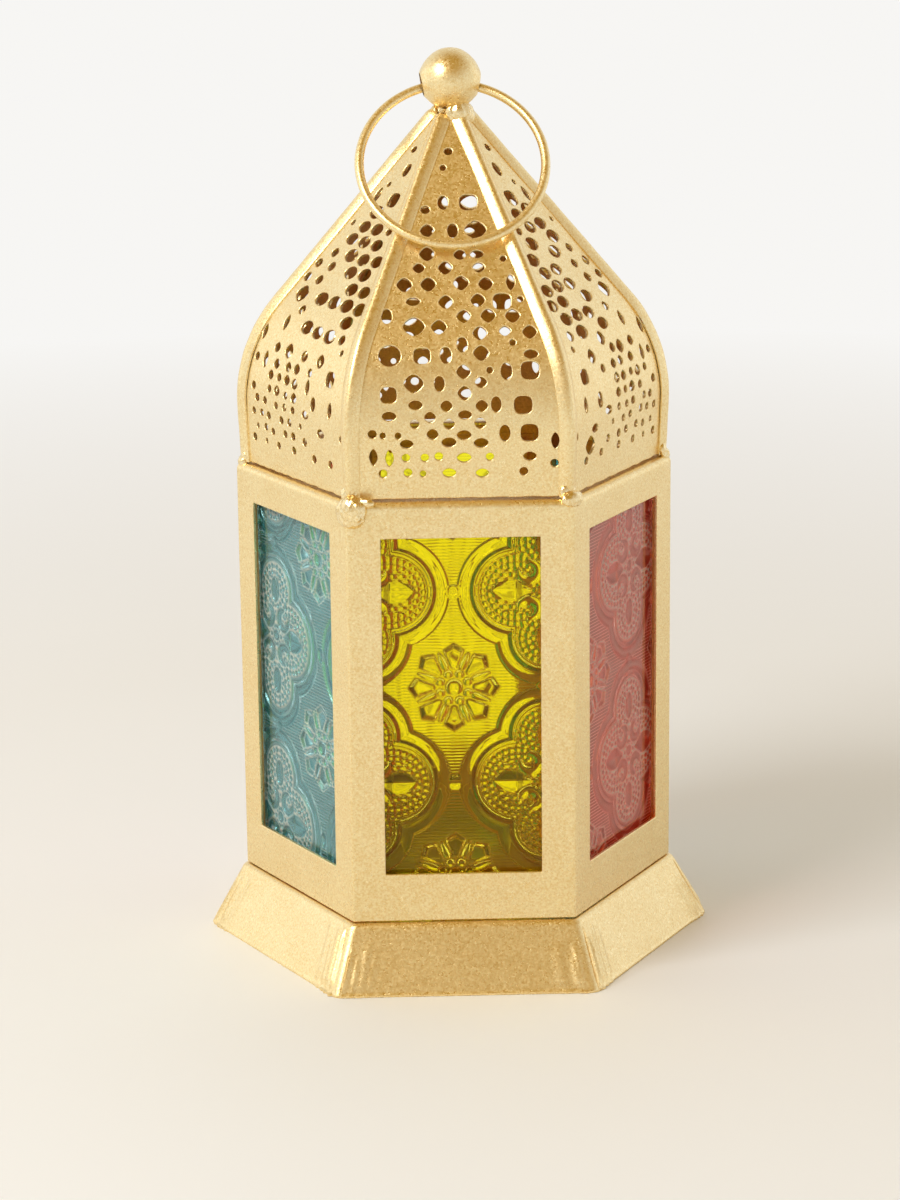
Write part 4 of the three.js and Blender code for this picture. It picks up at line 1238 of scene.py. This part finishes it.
# %% [markdown]
# ## The pressed pattern of the glass
# Each pane carries a common pressed pattern: four-lobed medallions with a raised band round
# them, a field of beads with leaves inside, and a small flower between them on a field of fine
# lines. Bump alone would look flat from the side and wouldn't bend the light, so the pattern is
# real height. It is one function of the place in a repeating cell: every figure has its own
# height and takes the place of the beads under it. Its number tells where its outline runs.

# %% Pressed pattern
CELL_WIDE, CELL_HIGH = 40.4, 44.0
LEVEL_AT, LEVEL_R = 6.3, 8.4  # the lobes to the sides: their middles' distance and radius
TALL_AT, TALL_R = 10.9, 6.3  # the lobes above and below
CURL_AT = (3.6, 4.3)
CURL_R = 2.1
CURL_SPAN = math.radians(150)
CURL_MIDDLE = math.radians(225)
BEAD_DEEP, BEAD_LONG = 1.45, 1.5
LATTICE_DEEP, LATTICE_LONG = 1.22, 2.0
BEAD_HEIGHT = 0.45
BEADS_FROM = -0.2
FIELD_FROM = 4.6
OUTLINES = ((0.0, 1.0), (0.6, 0.5), (4.5, 0.35))  # the moulding's thin lines: distance, strength
OUTLINE_WIDE = 0.16
FIELD_HEIGHT = 0.15
# The moulding's steep fall, the flower's pointed facets and the almonds' inner facets get painted shade,
# this dark.
FALL_SHADE, PETAL_SHADE, INNER_SHADE = 0.7, 1.0, 0.8  # how dark the steep places are
GLASS_THICK = 3.0


def dome_shape(distance, radius, height):
    """A low round dome: height x sqrt(1 - (d / radius)^2) inside the radius."""
    return height * np.sqrt(np.clip(1 - (distance / radius) ** 2, 0, None))


def creased_leaf(along, across, length, half_width, height):
    """A leaf from 0 to length, widest near its start: half_width sin(pi t^0.6)^0.7, with a roof."""
    t = np.clip(along / length, 0, 1)
    width = half_width * np.sin(math.pi * t**0.6) ** 0.7 + 1e-6
    inside = (along > 0) & (along < length)
    return inside * height * np.clip(1 - np.abs(across) / width, 0, None) ** 0.7


def bead_shape(down, along):
    """An oval bead in its cell, where down and along run from -1/2 to 1/2."""
    return dome_shape(np.hypot(down, along), 0.47, BEAD_HEIGHT)


def bead_rows(depth, angle, radius):
    """Beads in rows that follow a lobe's outline, the first row half a bead inside it."""
    number = np.round(depth / BEAD_DEEP - 0.5)
    down = depth / BEAD_DEEP - 0.5 - number
    row_radius = np.maximum(radius - (number + 0.5) * BEAD_DEEP, BEAD_LONG)
    count = np.round(2 * math.pi * row_radius / BEAD_LONG)
    cell = angle / (2 * math.pi) * count + 0.5 * np.mod(number, 2)
    return bead_shape(down, cell - np.round(cell))


def bead_lattice(x, y):
    """Beads on straight staggered rows."""
    number = np.round(y / LATTICE_DEEP)
    cell = x / LATTICE_LONG + 0.5 * np.mod(number, 2)
    return bead_shape(y / LATTICE_DEEP - number, cell - np.round(cell))


def medallion_distance(x, y):
    """Distance to the outline of four joined circles: min over the lobes of |p - c| - r."""
    level = np.hypot(np.abs(x) - LEVEL_AT, y) - LEVEL_R
    upright = np.hypot(x, np.abs(y) - TALL_AT) - TALL_R
    return np.minimum(level, upright)


def almond(along, across):
    """A roofed almond from 2.65 to 11.9 mm out from the middle. Its half width is
    2.7 sqrt(1 - ((a - 7.6) / 4.3)^2) in its round part, and grows evenly from its inner point."""
    rounded = 2.7 * np.sqrt(np.clip(1 - ((along - 7.6) / 4.3) ** 2, 0, None))
    pointed = 2.55 * (along - 2.65) / 3.55
    width = np.clip(np.where(along > 6.2, rounded, pointed), 1e-6, None)
    roof = np.clip(1 - np.abs(across) / width, 0, None)
    return np.where(along > 6.2, 1.0 * roof**0.6, 0.75 * roof) * (along > 2.65)


def medallion(x, y, d):
    """What lies inside a medallion: beads, four curled leaves, two almonds, two ovals and a
    middle ball. Gives the height, 1 on the almonds' inner facets, and each figure's number."""
    ax, ay = np.abs(x), np.abs(y)
    level_depth = LEVEL_R + BEADS_FROM - np.hypot(ax - LEVEL_AT, ay)
    tall_depth = TALL_R + BEADS_FROM - np.hypot(ax, ay - TALL_AT)
    level = bead_rows(level_depth, np.arctan2(ay, ax - LEVEL_AT), LEVEL_R)
    tall = bead_rows(tall_depth, np.arctan2(ay - TALL_AT, ax), TALL_R)
    rows = np.where(tall_depth > level_depth, tall, level)
    height = np.where(d > BEADS_FROM - 2 * BEAD_DEEP, rows, bead_lattice(ax, ay))
    curl_x, curl_y = ax - CURL_AT[0], ay - CURL_AT[1]
    angle = np.arctan2(curl_y, curl_x)
    turn = np.abs(np.mod(angle - CURL_MIDDLE + math.pi, 2 * math.pi) - math.pi)
    fat = 1.25 * np.clip(1 - (turn / CURL_SPAN) ** 2, 0, None) ** 0.5 + 0.01
    eye = almond(ax, ay)
    figures = (
        dome_shape(np.hypot(curl_x, curl_y) - CURL_R, fat, 0.8) * (turn < CURL_SPAN),
        eye,
        dome_shape(np.hypot(x / 2.0, (ay - 10.8) / 3.3), 1.0, 0.95),
        dome_shape(np.hypot(x, y), 1.5, 0.9),
    )
    part = 0.0 * height
    for number, figure in enumerate(figures, 1):
        height = np.where(figure > 0, figure, height)
        part = np.where(figure > 0, number, part)
    return height, (eye > 0) & (ax > 4.9) & (ax < 6.2), part


def frame_band(d):
    """The moulding round a medallion by the distance d outward: a thin rim at 0.15, a ridge that
    peaks at 0.85 and falls steeply to 2, a low round band and a thin line at the field's edge.
    Gives the height, and 1 on the steep fall."""
    rim = 0.7 * np.exp(-(((d - 0.15) / 0.26) ** 2))
    ridge = np.interp(d, [0.5, 0.7, 0.9, 2.0, 2.1], [0.1, 0.8, 0.9, 0.25, 0.2])
    round_band = 0.2 + dome_shape(d - 3.25, 1.25, 0.42)
    line = 0.2 + 0.32 * np.exp(-(((d - 4.4) / 0.17) ** 2))
    inside = (d > BEADS_FROM - 0.1) & (d < FIELD_FROM)
    height = np.where(d < 0.5, rim, np.where(d < 2.0, ridge, np.maximum(round_band, line)))
    return height * inside, (d > 0.95) & (d < 1.95)


def flower(x, y):
    """A ball, eight small balls round it, eight slim petals, and eight broad ones between them
    that rise outward and end in a steep pointed facet: 0.62 x (10.6 - along - 0.7 |across|).
    Gives the height, 1 on the facets, and each figure's number."""
    r = np.hypot(x, y)
    a = np.arctan2(y, x)
    eighth = math.pi / 4
    off_axis = np.mod(a + eighth / 2, eighth) - eighth / 2
    off_ball = np.mod(a, eighth) - eighth / 2
    along, across = r * np.cos(off_axis), np.abs(r * np.sin(off_axis))
    tip = 0.62 * (10.6 - along - 0.7 * across)
    plateau = 0.2 + 0.17 * (along - 3.2)
    broad = np.clip(np.minimum(tip, plateau), 0, None) * (across < 2.6) * (along > 4.2)
    p_along, p_across = r * np.cos(off_ball), r * np.sin(off_ball)
    petals = creased_leaf(p_along - 4.3, p_across, 4.5, 0.95, 1.0)
    balls = dome_shape(np.hypot(p_along - 3.3, p_across), 0.98, 0.9)
    around = (np.abs(p_across) < 1.2) & (p_along > 4.0) & (p_along < 8.8) & (petals <= 0)
    height = np.where(around, 0.0, broad)
    facet = (tip < plateau) & (height > 0.06) & (petals <= 0)
    part = 5.0 + facet
    for number, figure in enumerate((petals, balls, dome_shape(r, 1.92, 1.1)), 7):
        height = np.where(figure > 0, figure, height)
        part = np.where(figure > 0, number, part)
    return height, facet, part


def pressed_pattern(u, z, middle):
    """At (u, z), the height in mm, the plain field, how dark the facets are painted as shade,
    the thin lines of the bead net and the moulding, and each figure's number: the cell about
    the nearest flower, and the medallion at its corner."""
    x = np.mod(u - middle[0] + CELL_WIDE / 2, CELL_WIDE) - CELL_WIDE / 2
    y = np.mod(z - middle[1] + CELL_HIGH / 2, CELL_HIGH) - CELL_HIGH / 2
    mx = x - np.sign(x) * CELL_WIDE / 2
    my = y - np.sign(y) * CELL_HIGH / 2
    d = medallion_distance(mx, my)
    height, fall = frame_band(d)
    height = np.where(d > FIELD_FROM, FIELD_HEIGHT, height)
    beads, inner_facet, inner_part = medallion(mx, my, d)
    height = np.where(d < BEADS_FROM, np.maximum(beads, height), height)
    upper_knot = np.hypot(x, np.abs(y) - CELL_HIGH / 2)
    side_knot = np.hypot(np.abs(x) - CELL_WIDE / 2, y)
    height = np.maximum(height, dome_shape(np.minimum(upper_knot, side_knot), 1.7, 0.9))
    bloom, facet, bloom_part = flower(x, y)
    height = np.where(d > FIELD_FROM, np.maximum(height, bloom), height)
    steep = FALL_SHADE * fall + PETAL_SHADE * (facet & (d > FIELD_FROM))
    steep = steep + INNER_SHADE * (inner_facet & (d < 0))
    net = (d < BEADS_FROM) * (inner_part < 1) * (1 - smooth(0.05, 0.26, beads))
    rings = sum(much * np.exp(-(((d - at) / OUTLINE_WIDE) ** 2)) for at, much in OUTLINES)
    shown = (d > FIELD_FROM) & (bloom > FIELD_HEIGHT)
    part = np.where(d < BEADS_FROM, inner_part, np.where(shown, bloom_part, 0))
    field = (height == FIELD_HEIGHT) & (d > FIELD_FROM)
    return height, field, steep, np.maximum(net, rings), part


def soften(height, times):
    """Mean of each grid point with its neighbours, weights 1 2 1, along both directions."""
    for _ in range(times):
        for axis in (0, 1):
            border = [(0, 0), (0, 0)]
            border[axis] = (1, 1)
            wide = np.pad(height, border, mode="edge")
            size = height.shape[axis]
            before, after = (np.take(wide, range(at, at + size), axis) for at in (0, 2))
            height = (before + 2 * height + after) / 4
    return height


# %% [markdown]
# A pane is a slab with the pattern on its inner side, as on most such lanterns. Its outer side
# is flat and mirrors the table evenly, and the pattern shows through it. The grid is finer
# than a fifth of a millimetre, so even a small bead has six steps. The flat side is one fan of
# triangles round the rim, which keeps the piece light. The grooves are the net between the beads, the lines
# along the moulding and round each figure, and, more weakly, every place that lies well below
# the height's own blurred copy, as in a photo filter.

# %% Panes
PANE_COVER = 1.3
PANE_ROWS = 421
PANE_PITCH = (WINDOW_HIGH - WINDOW_LOW + 2 * PANE_COVER) / PANE_ROWS
PANES = {  # window half width, distance of the outer side from the axis, a flower's middle
    "right_back": (17.5, 42.201, (4.0, 58.0), "teal"),
    "back": (16.5, 43.301, (-1.7, 69.0), "yellow"),
    "left_back": (17.5, 42.201, (-6.0, 72.0), "red"),
    "left_front": (17.5, 42.201, (8.3, 51.3), "teal"),
    "front": (17.5, 42.201, (-1.7, 69.0), "yellow"),
    "right_front": (17.5, 42.201, (-12.9, 67.3), "red"),
}
RELIEF_TOP = 1.4
OUTER_SINK = 0.8
FIGURE_LINE = 0.8
HOLLOW_SHARE = 0.3
# Steep slopes of the relief get painted shade too.
SLOPE_SHADE = 0.8
SLOPE_RANGE = (0.85, 1.4)


def pane(half, front, middle, turn):
    """Slab over (u, z) whose inner side is front - thick + top - pattern(u, z), and its marks."""
    half = half + PANE_COVER
    low, high = WINDOW_LOW - PANE_COVER, WINDOW_HIGH + PANE_COVER
    u = np.linspace(-half, half, round(2 * half / PANE_PITCH) + 1)
    z = np.linspace(low, high, PANE_ROWS + 1)
    grid_u, grid_z = np.meshgrid(u, z)
    sharp, field, facet, line, part = pressed_pattern(grid_u, grid_z, middle)
    height = soften(sharp, 1)
    edge = FIGURE_LINE * (np.hypot(*np.gradient(part)) > 0)
    hollow = smooth(0.04, 0.14, soften(sharp, 8) - height)
    groove = np.maximum(HOLLOW_SHARE * hollow, soften(np.maximum(line, edge), 1))
    slope = np.hypot(*np.gradient(height, PANE_PITCH))
    steep = np.maximum(SLOPE_SHADE * smooth(*SLOPE_RANGE, slope), soften(facet, 1))
    inner = front - GLASS_THICK + RELIEF_TOP - height
    face = np.stack([inner, grid_u, grid_z], axis=-1)
    rows, columns = grid_u.shape
    index = np.arange(rows * columns).reshape(rows, columns)
    quads = grid_cells(index).reshape(-1, 4)
    border = np.concatenate([index[0, :-1], index[:-1, -1], index[-1, :0:-1], index[:0:-1, 0]])
    flat = face.reshape(-1, 3)
    outer = front - OUTER_SINK
    back = flat[border] * [0, 1, 1] + [outer, 0, 0]
    centre = np.array([[outer, 0, (low + high) / 2]])
    marks = np.zeros((4, len(flat) + len(border) + 1))
    for row, mark in zip(marks, (1.0 + 0 * height, groove, steep, soften(field * 1.0, 1))):
        row[: len(flat)] = mark.ravel()
    points = np.vstack([flat, back, centre])
    behind = len(flat) + np.arange(len(border))
    ahead, behind_ahead = np.roll(border, -1), np.roll(behind, -1)
    rim = np.stack([ahead, border, behind, behind_ahead], axis=-1)
    fan = np.stack([behind_ahead, behind, np.full(len(border), len(points) - 1)], axis=-1)
    return (turned(points, turn), [np.vstack([quads, rim]), fan]), marks


for index, face in enumerate(FACES):
    half, front, middle, tint = PANES[face]
    name = "door" if face == "back" else face
    body = "door" if face == "back" else "lantern"
    shape, marks = pane(half, front, middle, (index + 0.5) * math.pi / 3)
    piece = add_piece("pane_" + name, body, GLASS[tint], shape, ("glass_" + name,), 70)
    for word, values in zip(PANE_MARKS, marks):
        stored = piece.data.attributes.new(word, "FLOAT", "POINT")
        stored.data.foreach_set("value", values.astype(np.float32))

# %% [markdown]
# ## The door
# The door is a flat leaf with its own window, and laps over the doorway. It is cut from the
# same sheet, so it is made as the body's sheets are: a grid of cells with the window left out.

# %% Door leaf
DOOR_BACK = 43.601
DOOR_HINGE_EDGE = -21.0
DOOR_LATCH_EDGE = 22.2
DOOR_LOW, DOOR_HIGH = 17.3, 109.5
DOOR_WINDOW_HALF = 16.5


def door_leaf():
    """Cells of (u, z) on the door's plane with the window's cells left out."""
    u = stops([DOOR_HINGE_EDGE, -DOOR_WINDOW_HALF, DOOR_WINDOW_HALF, DOOR_LATCH_EDGE], 1.6)
    z = stops([DOOR_LOW, WINDOW_LOW, WINDOW_HIGH, DOOR_HIGH], 1.8)
    grid_u, grid_z = np.meshgrid(u, z)
    index = np.arange(grid_u.size).reshape(grid_u.shape)
    cells = grid_cells(index)
    middle_u = (u[:-1] + u[1:])[None, :] / 2
    middle_z = (z[:-1] + z[1:])[:, None] / 2
    level = (middle_z > WINDOW_LOW) & (middle_z < WINDOW_HIGH)
    window = (np.abs(middle_u) < DOOR_WINDOW_HALF) & level
    front = DOOR_BACK + SHEET + 0 * grid_u
    points = np.stack([front, grid_u, grid_z], axis=-1).reshape(-1, 3)
    points[:, 0] -= 0.04 + 0.04 * ripples(points, 40.0, 171)
    normals = np.tile([1.0, 0.0, 0.0], (len(points), 1))
    turn = math.pi / 2
    shape = used_only(points, normals, cells[~window])
    return thicken(turned(shape[0], turn), turned(shape[1], turn), shape[2], SHEET)


door = add_piece("door_sheet", "door", gold, door_leaf(), ("door_frame",))
# The inner face takes the darker inside paint: partly browned by the candle, partly painted shade.
line_inside(door, inside_paint_browned_and_shaded)
bend_edges(door, 0.16)

# %% [markdown]
# ## What stays as packed
# The channels, the hinges, the button and the cup already have their real shape in the packed
# model. They keep it and get the same finishes as the pieces round them.

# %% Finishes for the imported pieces
for node_name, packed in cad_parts.items():
    if packed.hide_render:
        continue
    finish = gold
    # The channels behind the panes take the darker inside paint, as painted shade.
    if node_name.startswith("channel_"):
        finish = inside_paint_browned_and_shaded
    if node_name == "candle_cup":
        finish = tin
    packed.data.materials.clear()
    packed.data.materials.append(finish)

# %% [markdown]
# ## Floor
# The lantern stands on a plain pale table. From above a table fills the whole picture, so one
# wide round sheet is enough. Near the lantern it is ordinary matt paint, which keeps the shadow.
# Far out a lamp's light would fade and the picture would darken towards its top. So there the
# sheet shows its own colour at full strength to the camera, to gloss and to glass.

# %% Pale floor
FLOOR_RADIUS = 6.0
FLOOR_SIDES = 96
FLOOR_LIT = 0.22
FLOOR_PLAIN = 0.75
SEEN_THROUGH = (0.04, 0.3, 0.3, 1.0)  # through glass, plain by 0.3 at 4 cm and wholly at 30 cm
PALE = (0.895, 0.92, 0.945)
FAR_PALE = (0.93, 0.92, 0.90)


def floor_sheet():
    """A round sheet in metres: rings of radius R t^2 about the lantern's axis, in one plane."""
    t = np.linspace(0, 1, 14)[1:, None]
    turn = np.linspace(0, 2 * math.pi, FLOOR_SIDES, endpoint=False)[None, :]
    radius = FLOOR_RADIUS * t**2
    rings = np.stack([radius * np.cos(turn), radius * np.sin(turn), 0 * radius * turn], axis=-1)
    index = np.arange(rings.shape[0] * FLOOR_SIDES).reshape(-1, FLOOR_SIDES)
    beside = np.roll(index, -1, axis=1)
    quads = np.stack([index[:-1], beside[:-1], beside[1:], index[1:]], axis=-1)
    quads = quads.reshape(-1, 4)[:, ::-1]
    mesh = bpy.data.meshes.new("floor")
    mesh.from_pydata(rings.reshape(-1, 3).tolist(), [], quads.tolist() + [index[0].tolist()])
    return mesh


def pale_paint():
    """Matt warm white near the middle, and its plain colour far out, by the length of (x, y)."""
    material, tree, shader, place = start_finish("pale_table")
    mottle = node(tree, "TexNoise", {"Vector": place, "Scale": 14.0, "Detail": 2.0}).outputs["Fac"]
    low = tuple(0.985 * value for value in PALE)
    colour = blend_colours(tree, mottle, (*low, 1.0), (*PALE, 1.0))
    tree.links.new(colour, shader.inputs["Base Color"])
    shader.inputs["Roughness"].default_value = 0.6
    shader.inputs["Specular IOR Level"].default_value = 0.2
    rays = node(tree, "LightPath").outputs
    seen = maths(tree, "MAXIMUM", rays["Is Camera Ray"], rays["Is Glossy Ray"])
    distance = node(tree, "VectorMath", {0: place}, operation="LENGTH").outputs["Value"]
    far = between(tree, distance, FLOOR_LIT, FLOOR_PLAIN, 0.0, 1.0)
    through = between(tree, distance, *SEEN_THROUGH)
    through = maths(tree, "MULTIPLY", through, rays["Is Transmission Ray"])
    share = maths(tree, "MULTIPLY_ADD", seen, far, through, clamp=True)
    plain = node(tree, "Emission", {"Color": (*FAR_PALE, 1.0)}).outputs[0]
    either = node(tree, "MixShader", {0: share, 1: shader.outputs[0], 2: plain}).outputs[0]
    tree.links.new(either, tree.nodes["Material Output"].inputs["Surface"])
    return material


floor = bpy.data.objects.new("floor", floor_sheet())
floor.data.materials.append(pale_paint())
bpy.context.scene.collection.objects.link(floor)

# %% [markdown]
# ## Light
# Gold paint is mostly what it mirrors. The upright faces mirror the pale table, the slanting
# front faces mirror the warm dim room above and behind the camera, and the slanting side faces
# mirror the bright sides. So the world is pale low down and at the sides, and a warm brown in
# one round patch high at the front. A soft lamp high on the left makes the shadow, a wide one
# stands at the left like a window, and a weak one at the right fills.


# %% Lamps and world
LAMPS_AIM = (0.0, 0.0, 0.09)


def soft_lamp(name, place, size, power, colour):
    """An area lamp aimed at the middle of the lantern."""
    lamp = bpy.data.lights.new(name, "AREA")
    lamp.shape = "RECTANGLE"
    lamp.size, lamp.size_y = size
    lamp.energy = power
    lamp.color = colour
    made = bpy.data.objects.new(name, lamp)
    made.location = place
    towards = Vector(LAMPS_AIM) - Vector(place)
    made.rotation_euler = towards.to_track_quat("-Z", "Y").to_euler()
    bpy.context.scene.collection.objects.link(made)


soft_lamp("key", (-0.75, -0.6, 0.95), (0.55, 0.55), 9.0, (0.98, 0.99, 1.0))
soft_lamp("window", (-1.15, 0.45, 0.38), (0.8, 0.7), 0.62, (0.98, 0.98, 1.0))
soft_lamp("fill", (1.15, 0.55, 0.36), (0.8, 0.7), 0.32, (1.0, 0.98, 0.96))

ROOM_PALE = (0.88, 0.895, 0.92)
ROOM_DIM = (0.47, 0.295, 0.05)
DIM_TOWARDS = (0.0, -0.407, 0.914)
DIM_FROM = (0.3, 0.9)  # cosines between which the dim colour comes in


def warm_world():
    """Pale everywhere but for a patch: the share of the dim colour grows with the cosine between
    the ray and the patch's middle. The camera sees the pale colour alone."""
    world = bpy.data.worlds.new("room")
    world.use_nodes = True
    tree = world.node_tree
    place = node(tree, "TexCoord").outputs["Generated"]
    towards = {0: place, 1: DIM_TOWARDS}
    cosine = node(tree, "VectorMath", towards, operation="DOT_PRODUCT").outputs["Value"]
    dim = between(tree, cosine, *DIM_FROM, 0.0, 1.0)
    seen = node(tree, "LightPath").outputs["Is Camera Ray"]
    share = maths(tree, "SUBTRACT", dim, seen, clamp=True)
    colour = blend_colours(tree, share, (*ROOM_PALE, 1.0), (*ROOM_DIM, 1.0))
    tree.links.new(colour, tree.nodes["Background"].inputs["Color"])
    return world


bpy.context.scene.world = warm_world()

# %% [markdown]
# ## Scene update
# The last cell brings the view layer up to date.

# %% Scene update
bpy.context.view_layer.update()
